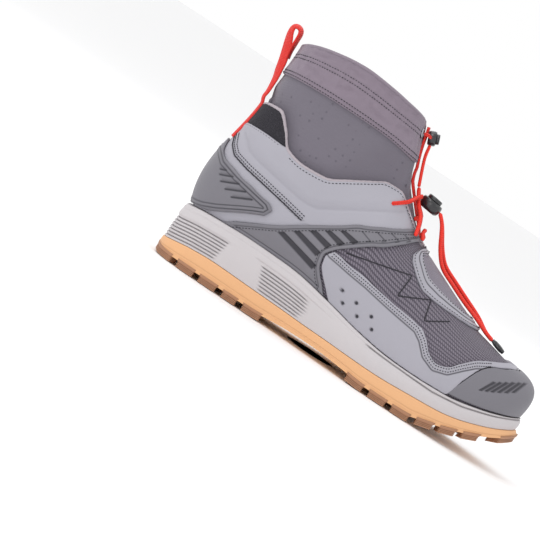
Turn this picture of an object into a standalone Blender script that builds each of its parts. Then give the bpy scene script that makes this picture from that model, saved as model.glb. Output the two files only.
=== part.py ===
"""A wading boot for the right foot: gum sole, foam midsole, low outer shoe and a tall soft bootie with a drawcord cuff.

Toe toward +X, outer side of the foot toward -Y, sole on z = 0, origin under the heel. Tables are in
millimetres along the boot from the back of the heel; place() turns them into metres in this frame.
"""
import bpy
import bmesh
import math
import numpy as np
from mathutils import Vector
from mathutils.kdtree import KDTree

for o in list(bpy.data.objects):
    bpy.data.objects.remove(o)

# main sizes of the whole boot, over its outermost faces
LENGTH = 305.7
BREADTH = 107.9
HEIGHT = 197.0
TABLE_LENGTH, TABLE_BREADTH, TABLE_HEIGHT = 305.7, 107.9, 197.0   # the sizes that the tables are drawn for
# sheets and plates
UPPER_WALL = 2.2
SOCK_WALL = 1.8
OVERLAY = 1.3
CUFF_BAND = 1.4
FOOTBED = 3.0
WEBBING = 1.3
WEBBING_WIDTH = 11.2
DRAWCORD = 2.4

HEEL_X = 38.0      # the origin, from the back of the heel
SETTLE = 3.7       # how far the forefoot is let down, so that heel and ball share the floor
LAST_ROW = 20.0
UNDER = 4.15       # the bootie's outer face under the upper's outer face
STRIP_GAP = 0.35   # a strip or a cord's end over the face that it leaves


def ease(t):
    t = np.clip(t, 0.0, 1.0)
    return t * t * (3 - 2 * t)


def let_down(x):
    return SETTLE * ease((np.asarray(x, float) - 100.0) / 100.0)


def place(points):
    """Table millimetres to metres in the boot's frame."""
    p = np.array(points, float)
    p[..., 2] -= let_down(p[..., 0])
    p[..., 0] -= HEEL_X
    return p * 0.001 * np.array([LENGTH / TABLE_LENGTH, BREADTH / TABLE_BREADTH, HEIGHT / TABLE_HEIGHT])


def through(keys, values, at):
    """A smooth curve through every row of a table, with no overshoot."""
    k = np.asarray(keys, float)
    v = np.asarray(values, float)
    flat = v.ndim == 1
    if flat:
        v = v[:, None]
    step = np.diff(k)[:, None]
    d = np.diff(v, axis=0) / step
    m = np.zeros_like(v)
    w1, w2 = 2 * step[1:] + step[:-1], step[1:] + 2 * step[:-1]
    same = d[:-1] * d[1:] > 0
    safe0, safe1 = np.where(same, d[:-1], 1.0), np.where(same, d[1:], 1.0)
    m[1:-1] = np.where(same, (w1 + w2) / (w1 / safe0 + w2 / safe1), 0.0)
    m[0], m[-1] = d[0], d[-1]
    at = np.asarray(at, float)
    q = np.clip(at, k[0], k[-1])
    i = np.clip(np.searchsorted(k, q) - 1, 0, len(k) - 2)
    s = ((q - k[i]) / (k[i + 1] - k[i]))[..., None]
    h = (k[i + 1] - k[i])[..., None]
    out = (
        (2 * s**3 - 3 * s**2 + 1) * v[i]
        + (s**3 - 2 * s**2 + s) * h * m[i]
        + (-2 * s**3 + 3 * s**2) * v[i + 1]
        + (s**3 - s**2) * h * m[i + 1]
    )
    return out[..., 0] if flat else out


# side view lines: (from the back of the heel, height)
MIDSOLE_TOP = [(4.8, 42.0), (18, 44.6), (33, 45.8), (57, 46.8), (89, 46.2), (131, 41.3), (160, 37.3), (185, 35.2), (210, 34.6), (237, 35.3), (261, 39.0), (280, 43.6), (296, 48.8)]
OUTSOLE_TOP = [(-2, 11.7), (12, 14.8), (25, 17.0), (44, 18.2), (82, 17.4), (114, 17.0), (150, 18.4), (191, 20.0), (217, 21.6), (240, 23.0), (253, 25.0), (266, 28.3), (278, 32.0), (290, 36.6), (302, 41.5)]
# the tread's own lowest line, already on the floor
TREAD = [(-4, 3.5), (-1, 2.2), (6, 0.0), (88, 0.0), (100, 1.0), (118, 2.4), (140, 2.9), (165, 1.6), (182, 0.0), (220, 0.0), (231, 2.2), (245, 5.4), (261, 10.0), (278, 16.2), (290, 21.8), (303, 29.0)]


def line_at(table, x):
    t = np.array(table, float)
    return through(t[:, 0], t[:, 1], x)


def tread_at(x):
    return line_at(TREAD, x) + let_down(x)


# rows round the last from the heel's centre (0) to the toe's centre (20), in plan, for each side
#        x out, y out, x in,  y in
FEATHER = [
    (7.2, 0.0, 7.2, 0.0), (10.0, 15.5, 10.0, 15.0), (20.0, 26.8, 20.0, 26.2), (34.0, 31.6, 34.0, 31.0),
    (50.0, 33.2, 50.0, 32.4), (66.0, 33.8, 66.0, 32.4), (82.0, 34.2, 82.0, 32.0), (98.0, 35.2, 98.0, 32.0),
    (112.0, 37.2, 112.0, 33.0), (126.0, 40.0, 126.0, 35.0), (140.0, 43.4, 140.0, 37.6), (154.0, 46.6, 154.0, 40.4),
    (167.0, 49.0, 167.0, 42.8), (179.0, 50.6, 179.0, 44.7), (191.0, 51.4, 191.0, 46.0), (212.0, 51.2, 212.0, 46.8),
    (234.0, 47.6, 234.0, 45.2), (256.0, 39.6, 256.6, 40.2), (273.8, 28.2, 275.2, 31.0), (286.0, 14.0, 287.0, 18.6), (291.0, -2.5, 291.0, 2.5),
]
# the upper's top line: x, half gap between the sides, height, and how its profile runs:
# slope of the upper handle, its length, the lower handle's rise and its swing outward
UPPER = [
    (9.0, 0.0, 133.0, 88, 30, 30, 15.0), (14.5, 15.8, 135.8, 88, 30, 30, 13.5), (24.0, 26.2, 136.6, 88, 30, 30, 11.0), (35.5, 32.0, 127.0, 88, 28, 27, 9.5),
    (46.0, 34.8, 115.2, 88, 25, 25, 9.0), (61.0, 36.2, 112.2, 87, 23, 23, 8.5), (78.0, 35.4, 113.4, 85, 24, 24, 8.0), (94.0, 32.6, 121.5, 80, 27, 27, 7.5),
    (108.0, 29.0, 129.8, 71, 29, 30, 7.0), (119.0, 25.0, 135.6, 60, 28, 33, 6.0), (129.0, 22.4, 136.0, 48, 26, 35, 5.5), (141.0, 21.0, 128.5, 39, 24, 35, 5.0),
    (153.0, 20.0, 120.0, 32, 22, 36, 4.0), (163.5, 14.0, 113.4, 22, 21, 35, 3.5), (171.0, 0.0, 109.4, 0, 31, 34, 3.0), (192.0, 0.0, 100.6, 0, 28.5, 32, 3.0),
    (213.0, 0.0, 91.6, 0, 27, 30, 3.0), (231.0, 0.0, 85.0, 0, 26, 27.5, 3.0), (246.0, 0.0, 81.4, 0, 25.5, 26, 3.5), (256.0, 0.0, 78.4, 0, 26, 24.5, 4.5), (262.0, 0.0, 77.0, 0, 27, 24, 5.0),
]
# the bootie's top line: x, half gap, height, and its handles: x, y, z of the upper one from the top line, rise and swing of the lower one
BOOTIE = [
    (11.0, 0.0, 184.5, 1.5, 0.0, -46, 40, 15.0), (15.5, 15.6, 187.2, 1.5, -1.0, -46, 40, 13.0), (25.0, 26.4, 190.6, 2.0, -3.0, -46, 40, 10.0), (37.5, 33.0, 193.3, 2.0, -6.0, -48, 40, 8.0),
    (50.0, 36.0, 195.2, 1.0, -8.0, -50, 40, 7.5), (62.0, 37.0, 195.9, 0.0, -9.0, -52, 40, 7.5), (75.0, 35.8, 195.0, 0.0, -8.0, -52, 40, 7.0), (87.0, 32.6, 193.6, 1.5, -5.5, -52, 42, 7.0),
    (98.0, 27.4, 191.8, 4.0, -1.5, -51, 44, 6.0), (106.5, 20.6, 190.4, 8.0, 4.0, -48, 44, 5.0), (112.5, 12.0, 188.8, 12.0, 11.0, -42, 44, 4.0), (115.8, 0.0, 185.4, 12.0, 20.0, -34, 42, 3.0),
    (120.0, 0.0, 169.5, 11.0, 21.0, -25, 40, 2.0), (127.5, 0.0, 150.5, 12.0, 21.5, -18, 38, 1.0), (143.0, 0.0, 131.6, 13.0, 22.0, -12, 34, 1.0), (163.0, 0.0, 110.0, 11.0, 22.0, -6, 31, 1.0),
]
K_FEATHER = np.arange(len(FEATHER))
LATERAL, MEDIAL = -1.0, 1.0


def feather(k, side):
    """The line where the upper meets the midsole, (n, 3)."""
    t = np.array(FEATHER, float)
    cols = t[:, :2] if side == LATERAL else t[:, 2:]
    other = t[:, 2:] if side == LATERAL else t[:, :2]
    # a closed smooth curve: the far side's rows go on past the heel and the toe
    x = np.concatenate([other[3:0:-1, 0], cols[:, 0], other[-2:-5:-1, 0]])
    y = np.concatenate([-other[3:0:-1, 1], cols[:, 1], -other[-2:-5:-1, 1]]) * side
    if side == LATERAL:
        y[3 + 20] = 2.5
    keys = np.arange(-3, len(FEATHER) + 3)
    n = len(keys)
    # natural cubic spline
    a = np.zeros((n, n))
    a[0, 0] = a[-1, -1] = 1
    for i in range(1, n - 1):
        a[i, i - 1 : i + 2] = 1, 4, 1
    out = []
    for v in (x, y):
        r = np.zeros(n)
        r[1:-1] = 6 * (v[2:] - 2 * v[1:-1] + v[:-2])
        m = np.linalg.solve(a, r)
        k_ = np.clip(np.asarray(k, float), -2.99, LAST_ROW + 2.99)
        i = np.clip(np.floor(k_).astype(int) + 3, 0, n - 2)
        s = k_ - keys[i]
        out.append((m[i] * (1 - s) ** 3 + m[i + 1] * s**3) / 6 + (v[i] - m[i] / 6) * (1 - s) + (v[i + 1] - m[i + 1] / 6) * s)
    x, y = out
    return np.stack([x, y, line_at(MIDSOLE_TOP, x) + 0.35], -1)


def outward(k, side):
    """The outline's level direction outward, (n, 3)."""
    a, b = feather(np.asarray(k, float) - 0.02, side), feather(np.asarray(k, float) + 0.02, side)
    d = b - a
    n = np.stack([d[..., 1], -d[..., 0], 0 * d[..., 0]], -1) * -side
    return n / np.linalg.norm(n, axis=-1, keepdims=True)


def ring(k, side, out, z=None):
    """The outline moved outward by out, at height z (a number, an array or None for the feather's)."""
    p = feather(k, side) + outward(k, side) * np.asarray(out, float)[..., None]
    if z is not None:
        p[..., 2] = z
    return p


def crest_slope(x):
    return np.interp(x, [171, 213, 240, 262], [-0.42, -0.42, -0.30, -0.08])


def upper_controls(k, side):
    t = through(K_FEATHER, UPPER, k)
    p0 = feather(k, side)
    n = outward(k, side)
    p3 = np.stack([t[..., 0], side * t[..., 1], t[..., 2]], -1)
    phi = np.radians(t[..., 3])
    rear = n * np.cos(phi)[..., None] + np.array([0, 0, -1.0]) * np.sin(phi)[..., None]
    # along the crest the handle lies in the crest's own slope
    slope = crest_slope(t[..., 0])
    level = (p0 - p3) * np.array([1, 1, 0.0])
    level /= np.maximum(np.linalg.norm(level, axis=-1, keepdims=True), 1e-6)
    crest = level.copy()
    crest[..., 2] = level[..., 0] * slope
    w = ease((np.asarray(k, float) - 12.0) / 2.0)[..., None]
    d = rear * (1 - w) + crest * w
    d /= np.linalg.norm(d, axis=-1, keepdims=True)
    p1 = p0 + np.array([0, 0, 1.0]) * t[..., 5, None] + n * t[..., 6, None]
    p2 = p3 + d * t[..., 4, None]
    return p0, p1, p2, p3


def bezier(c, h):
    h = np.asarray(h, float)[..., None]
    return c[0] * (1 - h) ** 3 + 3 * c[1] * h * (1 - h) ** 2 + 3 * c[2] * h**2 * (1 - h) + c[3] * h**3


def upper_raw(k, side, h):
    return bezier(upper_controls(k, side), h)


def normal_of(raw, k, side, h):
    k, h = np.broadcast_arrays(np.asarray(k, float), np.asarray(h, float))
    e = 0.01
    hk = np.clip(h, 0.004, 0.992)
    du = raw(k + e, side, hk) - raw(k - e, side, hk)
    dh = raw(k, side, hk + 0.004) - raw(k, side, hk - 0.004)
    n = np.cross(du, dh) * -side
    return n / np.maximum(np.linalg.norm(n, axis=-1, keepdims=True), 1e-9)


def upper_normal(k, side, h):
    k, h = np.broadcast_arrays(np.asarray(k, float), np.asarray(h, float))
    n = normal_of(upper_raw, np.clip(k, 0.02, LAST_ROW - 0.02), side, h)
    slope = crest_slope(through(K_FEATHER, UPPER, k)[..., 0])
    top = np.stack([-slope, 0 * slope, 1 + 0 * slope], -1)
    top /= np.linalg.norm(top, axis=-1, keepdims=True)
    w = np.maximum(ease((k - 18.0) / 1.5) * ease((h - 0.86) / 0.1), ((h > 0.999) & (k >= 14)) * 1.0)[..., None]
    n = n * (1 - w) + top * w
    return n / np.linalg.norm(n, axis=-1, keepdims=True)


def upper_face(k, side, h):
    """Points of the upper's outer face and its normals."""
    return upper_raw(k, side, h), upper_normal(k, side, h)


def upper_at(k, side, h, off=0.0):
    """A point of the upper's outer face, moved outward by off."""
    p, n = upper_face(k, side, h)
    return p + n * np.asarray(off, float)[..., None]


_under = {}


def tuck(points, gap):
    """Moves points that would come through the upper back to gap inside its outer face; free above its top line."""
    if gap not in _under:
        ks, hs = np.meshgrid(np.linspace(0, LAST_ROW, 161), np.linspace(0, 1, 41), indexing="ij")
        q = np.concatenate([upper_at(ks, s, hs, -gap).reshape(-1, 3) for s in (LATERAL, MEDIAL)])
        n = np.concatenate([upper_normal(ks, s, hs).reshape(-1, 3) for s in (LATERAL, MEDIAL)])
        tree = KDTree(len(q))
        for i, p in enumerate(q):
            tree.insert(p, i)
        tree.balance()
        _under[gap] = (tree, q, n)
    tree, q, n = _under[gap]
    flat = points.reshape(-1, 3).copy()
    near = np.array([tree.find(p)[1] for p in flat])
    rel = flat - q[near]
    out = (rel * n[near]).sum(-1)
    along = np.linalg.norm(rel - out[:, None] * n[near], axis=-1)
    over = out - 0.35 * np.maximum(along - 3.0, 0)
    push = 0.35 * np.logaddexp(0, over / 0.35)
    push *= 1 - ease((along - 9.0) / 22.0)
    flat -= n[near] * np.where(over > -2, push, 0)[:, None]
    return flat.reshape(points.shape)


def bootie_raw(k, side, h):
    k = np.asarray(k, float)
    kb = np.clip(k, 0, 15)
    t = through(np.arange(16), BOOTIE, kb)
    n = outward(k, side)
    p0 = feather(k, side) - n * 3.4 + np.array([0, 0, 0.6])
    p3 = np.stack([t[..., 0], side * t[..., 1], t[..., 2]], -1)
    p2 = p3 + np.stack([t[..., 3], side * t[..., 4], t[..., 5]], -1)
    p1 = p0 + np.array([0, 0, 1.0]) * t[..., 6, None] + n * t[..., 7, None]
    own = bezier((p0, p1, p2, p3), h)
    w = ease((k - 14.0) / 1.5)[..., None]
    inner = upper_at(k, side, h, -UNDER)
    p = own * (1 - w) + inner * w
    p = tuck(p, UNDER)
    crest = np.broadcast_to((np.asarray(h) > 0.999) & (k >= 11), p.shape[:-1])
    p[..., 1] = np.where(crest, 0.0, p[..., 1])
    return p


def bootie_face(k, side, h):
    k, h = np.broadcast_arrays(np.asarray(k, float), np.asarray(h, float))
    n = normal_of(bootie_raw, np.clip(k, 0.02, LAST_ROW - 0.02), side, h)
    crest = (h > 0.999) & (k >= 11)
    n[..., 1] = np.where(crest, 0.0, n[..., 1])
    n /= np.linalg.norm(n, axis=-1, keepdims=True)
    w = ease((k - 15.5) / 0.5)[..., None]
    n = n * (1 - w) + upper_normal(k, side, h) * w
    return bootie_raw(k, side, h), n


# colours

def paint(o, name, colour, rough, metal=0.0):
    m = bpy.data.materials.get(name) or bpy.data.materials.new(name)
    m.use_nodes = True
    b = m.node_tree.nodes["Principled BSDF"]
    b.inputs["Base Color"].default_value = (*colour, 1)
    b.inputs["Roughness"].default_value = rough
    b.inputs["Metallic"].default_value = metal
    m.diffuse_color = (*colour, 1)
    o.data.materials.clear()
    o.data.materials.append(m)
    return o


GUM = ("gum rubber", (0.72, 0.42, 0.22), 0.7)
FOAM = ("foam", (0.55, 0.53, 0.56), 0.65)
PALE = ("pale overlay", (0.42, 0.41, 0.46), 0.5)
DARK = ("dark overlay", (0.18, 0.18, 0.2), 0.5)
MESH = ("mesh", (0.13, 0.12, 0.15), 0.8)
SOCK = ("soft shell", (0.19, 0.17, 0.22), 0.75)
RED = ("red cord", (0.76, 0.05, 0.03), 0.6)
BLACK = ("black plastic", (0.015, 0.015, 0.018), 0.4)
METAL = ("grey metal", (0.5, 0.5, 0.52), 0.35, 0.9)


def solid(name, verts, faces, look, weld=0.00002):
    """One closed body from points in metres and faces."""
    me = bpy.data.meshes.new(name)
    me.from_pydata([tuple(map(float, v)) for v in verts], [], [tuple(map(int, f)) for f in faces])
    o = bpy.data.objects.new(name, me)
    bpy.context.collection.objects.link(o)
    bm = bmesh.new()
    bm.from_mesh(me)
    bmesh.ops.remove_doubles(bm, verts=bm.verts, dist=weld)
    bmesh.ops.dissolve_degenerate(bm, edges=bm.edges, dist=weld)
    bmesh.ops.recalc_face_normals(bm, faces=bm.faces)
    if bm.calc_volume(signed=True) < 0:
        bmesh.ops.reverse_faces(bm, faces=bm.faces)
    bmesh.ops.triangulate(bm, faces=[f for f in bm.faces if len(f.verts) > 3])
    open_edges = sum(1 for e in bm.edges if len(e.link_faces) != 2)
    print(f"{name}: {len(bm.faces)} triangles, {open_edges} open edges")
    bm.to_mesh(me)
    bm.free()
    return paint(o, *look)


def slab(name, outer, inner, look, wrap=False):
    """A closed body between two grids of points in metres, each (n, m, 3)."""
    n, m = outer.shape[:2]
    verts = np.concatenate([outer.reshape(-1, 3), inner.reshape(-1, 3)])
    faces = []

    def v(i, j, s):
        return s * n * m + (i % n) * m + j

    for i in range(n if wrap else n - 1):
        for j in range(m - 1):
            faces.append((v(i, j, 0), v(i + 1, j, 0), v(i + 1, j + 1, 0), v(i, j + 1, 0)))
            faces.append((v(i, j, 1), v(i, j + 1, 1), v(i + 1, j + 1, 1), v(i + 1, j, 1)))
        faces.append((v(i, 0, 0), v(i, 0, 1), v(i + 1, 0, 1), v(i + 1, 0, 0)))
        faces.append((v(i, m - 1, 0), v(i + 1, m - 1, 0), v(i + 1, m - 1, 1), v(i, m - 1, 1)))
    if not wrap:
        for j in range(m - 1):
            faces.append((v(0, j, 0), v(0, j + 1, 0), v(0, j + 1, 1), v(0, j, 1)))
            faces.append((v(n - 1, j, 0), v(n - 1, j, 1), v(n - 1, j + 1, 1), v(n - 1, j + 1, 0)))
    return solid(name, verts, faces, look)


# columns round the boot: outer side from heel to toe, then inner side back
COLS = [0, 0.7, 1.4, 2, 2.5, 3, 3.5, 4, 5, 6, 7, 8, 8.8, 9.5, 10, 10.5, 11, 11.5, 12, 12.6, 13.2, 14, 15.5, 17, 18, 18.8, 19.4, 20]


def columns(ks):
    return [(k, LATERAL) for k in ks] + [(k, MEDIAL) for k in ks[-2:0:-1]]


def shell(name, face, ks, hs, wall, crest_from, look):
    """A hollow body: outer and inner grids joined by their rims, and the two sides' tops welded along the crest."""
    cols = columns(ks)
    n = len(cols)
    both = []
    for side, order in ((LATERAL, ks), (MEDIAL, ks[-2:0:-1])):
        a, b = np.meshgrid(order, hs, indexing="ij")
        p, nrm = face(a, side, b)
        both.append((p, p - nrm * wall))
    outer = np.concatenate([both[0][0], both[1][0]])
    inner = np.concatenate([both[0][1], both[1][1]])
    for grid in (outer, inner):
        for i in range(1, len(ks) - 1):
            if ks[i] >= crest_from:
                mid = (grid[i, -1] + grid[n - i, -1]) / 2
                grid[i, -1] = grid[n - i, -1] = mid
    m = len(hs)
    faces = []

    def v(i, j, s):
        return s * n * m + (i % n) * m + j

    on_crest = [k >= crest_from for k, _ in cols]
    for i in range(n):
        for j in range(m - 1):
            faces.append((v(i, j, 0), v(i + 1, j, 0), v(i + 1, j + 1, 0), v(i, j + 1, 0)))
            faces.append((v(i, j, 1), v(i, j + 1, 1), v(i + 1, j + 1, 1), v(i + 1, j, 1)))
        if not (on_crest[i] and on_crest[(i + 1) % n]):
            faces.append((v(i, m - 1, 0), v(i + 1, m - 1, 0), v(i + 1, m - 1, 1), v(i, m - 1, 1)))
    verts = [outer.reshape(-1, 3), inner.reshape(-1, 3)]
    for i in range(n):
        faces.append((v(i, 0, 0), v(i, 0, 1), v(i + 1, 0, 1), v(i + 1, 0, 0)))
    return solid(name, place(np.concatenate(verts)), faces, look)


HS = [0, 0.1, 0.22, 0.36, 0.5, 0.63, 0.76, 0.88, 1.0]
shell("upper", upper_face, COLS, HS, UPPER_WALL, 14, MESH)
SOCK_COLS = [0, 0.7, 1.4, 2, 2.5, 3, 3.5, 4, 5, 6, 7, 8, 8.8, 9.5, 10, 10.5, 11, 11.5, 12, 12.5, 13, 13.5, 14, 14.5, 15, 16, 17.2, 18.4, 19.3, 20]
shell("inner_bootie", bootie_face, SOCK_COLS, [0, 0.14, 0.3, 0.45, 0.58, 0.7, 0.8, 0.9, 1.0], SOCK_WALL, 11, SOCK)


def row_at(x, side):
    """The row whose feather point lies at x, behind the toe's turn."""
    ks = np.linspace(0.3, 19.8, 600)
    return np.interp(x, feather(ks, side)[..., 0], ks)


# the sole: how far its edge stands out from the feather line, by row
EDGE = [(0, 6.6), (1, 6.0), (2, 5.2), (4, 4.4), (8, 4.2), (12, 4.4), (15, 4.4), (18, 4.6), (20, 5.2)]
FLOOR_EDGE = [(0, 7.6), (1, 7.0), (2, 6.2), (4, 5.2), (8, 4.8), (12, 5.2), (15, 5.4), (17, 5.6), (18, 6.4), (19, 8.0), (20, 9.4)]


def edge_at(table, k):
    t = np.array(table, float)
    return through(t[:, 0], t[:, 1], k)


def plate(name, cols_k, levels, look):
    """A body closed above and below by strips from side to side; levels are (outward by row, height by x)."""
    cols = columns(cols_k)
    n, m, half = len(cols), len(levels), len(cols_k)
    grid = np.zeros((n, m, 3))
    for i, (k, side) in enumerate(cols):
        for j, (out, height) in enumerate(levels):
            p = ring(np.array([k]), side, np.array([out(k)]))[0]
            p[2] = height(p[0], k)
            grid[i, j] = p
    verts = list(place(grid.reshape(-1, 3)))
    faces = []
    for i in range(n):
        for j in range(m - 1):
            a, b = i * m + j, ((i + 1) % n) * m + j
            faces.append((a, b, b + 1, a + 1))
    for j in (0, m - 1):
        for i in range(1, half - 2):
            faces.append((i * m + j, (i + 1) * m + j, (n - i - 1) * m + j, (n - i) * m + j))
        faces.append((j, m + j, (n - 1) * m + j))
        faces.append(((half - 1) * m + j, (half - 2) * m + j, half * m + j))
    return solid(name, verts, faces, look)


SOLE_COLS = [0, 0.6, 1.2, 1.8, 2.6, 3.8, 5.2, 7, 8.7, 10.4, 12, 13.5, 15, 16.2, 17.2, 18, 18.6, 19.1, 19.6, 20]
LUG = 4.6
outsole = plate(
    "outsole",
    SOLE_COLS,
    [
        (lambda k: edge_at(FLOOR_EDGE, k) - 0.6, lambda x, k: tread_at(x) + LUG),
        (lambda k: edge_at(EDGE, k), lambda x, k: line_at(OUTSOLE_TOP, x) - 0.8),
        (lambda k: edge_at(EDGE, k) - 0.8, lambda x, k: line_at(OUTSOLE_TOP, x)),
    ],
    GUM,
)


def lug(verts, faces, corners):
    """A tread block from its corners in plan, in order; its foot is inside the plate."""
    base = len(verts)
    n = len(corners)
    low = [(x, y, tread_at(x)) for x, y in corners]
    mid = np.mean(np.array(corners), axis=0)
    high = [(x + (x - mid[0]) * 0.06, y + (y - mid[1]) * 0.06, tread_at(x) + LUG + 1.6) for x, y in corners]
    verts += low + high
    faces.append(tuple(base + i for i in range(n)))
    faces.append(tuple(base + n + i for i in reversed(range(n))))
    for i in range(n):
        j = (i + 1) % n
        faces.append((base + i, base + j, base + n + j, base + n + i))


lug_v, lug_f = [], []
EDGE_LUGS = [(4.5, 20), (23.5, 38), (41.5, 57.5), (61.5, 75), (79, 96), (170, 186), (189.5, 205), (208.5, 224), (227.5, 241), (244.5, 257), (260.5, 272)]
for side in (LATERAL, MEDIAL):
    for n_, (x0, x1) in enumerate(EDGE_LUGS):
        k0, k1 = row_at(x0, side), row_at(x1, side)
        outer = ring(np.linspace(k0, k1, 3), side, edge_at(FLOOR_EDGE, np.linspace(k0, k1, 3)) - 0.9)[:, :2]
        deep = 15.0 if n_ % 2 else 11.5
        inner = ring(np.array([k1, k0]), side, np.array([edge_at(FLOOR_EDGE, k1) - deep, edge_at(FLOOR_EDGE, k0) - deep]))[:, :2]
        inner[0, 0] -= 1.5
        inner[1, 0] += 1.5
        lug(lug_v, lug_f, [tuple(p) for p in outer] + [tuple(p) for p in inner])
# round the toe and the back of the heel
for k0, k1 in ((18.75, 20.0),):
    for side in (LATERAL, MEDIAL):
        ks = np.linspace(k0, k1 - 0.12, 3)
        outer = ring(ks, side, edge_at(FLOOR_EDGE, ks) - 1.2)[:, :2]
        inner = ring(ks[::-1], side, edge_at(FLOOR_EDGE, ks[::-1]) - 12.0)[:, :2]
        lug(lug_v, lug_f, [tuple(p) for p in outer] + [tuple(inner[0]), tuple(inner[-1])])
# the middle of the tread: one under the origin, the rest in a zigzag
HEX = [(-9.5, 0), (-5, -7.5), (5, -7.5), (9.5, 0), (5, 7.5), (-5, 7.5)]
lug(lug_v, lug_f, [(HEEL_X + a, b) for a, b in HEX])
lug(lug_v, lug_f, [(62 + a * 0.8, b * 0.8) for a, b in HEX])
lug(lug_v, lug_f, [(83 + a * 0.8, b * 0.8) for a, b in HEX])
for i, x in enumerate((181, 199, 217, 235, 252)):
    reach = (24, 25, 24, 21, 15)[i]
    for s_ in (-1, 1):
        lug(lug_v, lug_f, [(x - 6, s_ * 2.5), (x + 3, s_ * 2.5), (x + 7.5, s_ * reach), (x - 1.5, s_ * reach)])
lug(lug_v, lug_f, [(266, -7), (272, 0), (266, 7), (259.5, 5), (259.5, -5)])
lugs = solid("lugs", place(np.array(lug_v)), lug_f, GUM)
join = outsole.modifiers.new("lugs", "BOOLEAN")
join.operation, join.solver, join.object = "UNION", "EXACT", lugs
lugs.hide_render = True
lugs.display_type = "WIRE"

# the midsole: ribbed blocks at the heel and the waist, one groove round the forefoot
RIBS = 5


def rib_depth(x, z_share, k):
    """How far a groove cuts in at x, for a share of the way up the side; 0 between the blocks."""
    heel_end = 50 - 6 * (1 - z_share)
    waist_start, waist_end = 70 + 12 * (1 - z_share), 124 - 10 * abs(z_share - 0.35)
    inside = max(ease((heel_end - x) / 2.5), ease((x - waist_start) / 2.5) * ease((waist_end - x) / 8.0))
    return 1.3 * float(inside)


def mid_level(share, groove):
    def out(k):
        x = feather(np.array([k]), LATERAL)[0][0]
        base = edge_at(EDGE, k) - 0.6 + (1.4 - edge_at(EDGE, k) + 0.6) * share**1.5 + 0.9 * math.sin(math.pi * share)
        return base - (rib_depth(x, share, k) if groove else 0)

    def height(x, k):
        low, top = line_at(OUTSOLE_TOP, x) + 0.3, line_at(MIDSOLE_TOP, x)
        return low + (top - low) * share

    return out, height


levels = [mid_level(0.0, False), mid_level(0.05, False)]
for r in range(RIBS):
    z0 = 0.12 + r * 0.115
    levels += [mid_level(z0, True), mid_level(z0 + 0.06, False)]
levels += [mid_level(0.86, False), mid_level(0.97, False)]
top_out, top_z = mid_level(1.0, False)
levels += [(lambda k: top_out(k) - 0.9, top_z)]
plate("midsole", [0, 0.7, 1.4, 2.1, 2.8, 3.4, 3.9, 4.5, 5.1, 5.6, 6.4, 7.2, 8, 8.7, 10, 12, 14, 16, 17.3, 18.2, 18.9, 19.5, 20], levels, FOAM)

# the sock's sole board, inside its lower edge
BOARD_IN = -(3.4 + SOCK_WALL + 2.4)
plate(
    "sock_board",
    [0, 0.7, 1.4, 3, 5, 7, 9, 11, 13, 15, 17, 18, 19.2, 20],
    [(lambda k: BOARD_IN, lambda x, k: line_at(MIDSOLE_TOP, x) + 0.95), (lambda k: BOARD_IN, lambda x, k: line_at(MIDSOLE_TOP, x) + 0.95 + SOCK_WALL)],
    SOCK,
)

# the footbed
plate(
    "insole",
    [0, 0.7, 1.4, 2.2, 3, 5, 7, 9, 11, 13, 15, 17, 18, 19.2, 20],
    [(lambda k: -9.4, lambda x, k: line_at(MIDSOLE_TOP, x) + 3.9 + 1.0 * float(ease((x - 250.0) / 30.0))), (lambda k: -9.0, lambda x, k: line_at(MIDSOLE_TOP, x) + 3.9 + FOOTBED + 1.0 * float(ease((x - 250.0) / 30.0)))],
    SOCK,
)


# overlays on the upper

_side_view = {}


def on_upper(x, z, side):
    """Row and share up the upper where its face shows the side-view point (x, z)."""
    if side not in _side_view:
        ks, hs = np.meshgrid(np.linspace(0, LAST_ROW, 321), np.linspace(0, 1, 121), indexing="ij")
        p = upper_raw(ks, side, hs).reshape(-1, 3)
        _side_view[side] = (p, ks.reshape(-1), hs.reshape(-1))
    p, ks, hs = _side_view[side]
    i = int(((p[:, 0] - x) ** 2 + (p[:, 2] - z) ** 2).argmin())
    k, h = ks[i], hs[i]
    for dk, dh in ((0.07, 0.009), (0.02, 0.0025)):
        kk, hh = np.meshgrid(np.clip(k + np.linspace(-dk, dk, 9), 0, LAST_ROW), np.clip(h + np.linspace(-dh, dh, 9), 0, 1), indexing="ij")
        q = upper_raw(kk, side, hh)
        j = np.unravel_index(((q[..., 0] - x) ** 2 + (q[..., 2] - z) ** 2).argmin(), kk.shape)
        k, h = kk[j], hh[j]
    return k, h


def curve_on(points, count, side=LATERAL, ends=None):
    """A side-view curve as rows and shares, resampled to count points."""
    kh = np.array([on_upper(x, z, side) if len(q) == 2 else q[2] for q in points for x, z in [q[:2]]], float)
    xz = np.array([q[:2] for q in points], float)
    run = np.concatenate([[0], np.cumsum(np.linalg.norm(np.diff(xz, axis=0), axis=1))])
    at = np.linspace(0, run[-1], count)
    return through(run, kh, at)


def overlay(name, a, b, across, side, look, low):
    """A plate between two curves of (row, share), lying on the upper."""
    v = np.linspace(0, 1, across)[None, :, None]
    kh = a[:, None] * (1 - v) + b[:, None] * v
    p, n = upper_face(kh[..., 0], side, kh[..., 1])
    return slab(name, place(p + n * (low + OVERLAY)), place(p + n * low), look)


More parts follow.
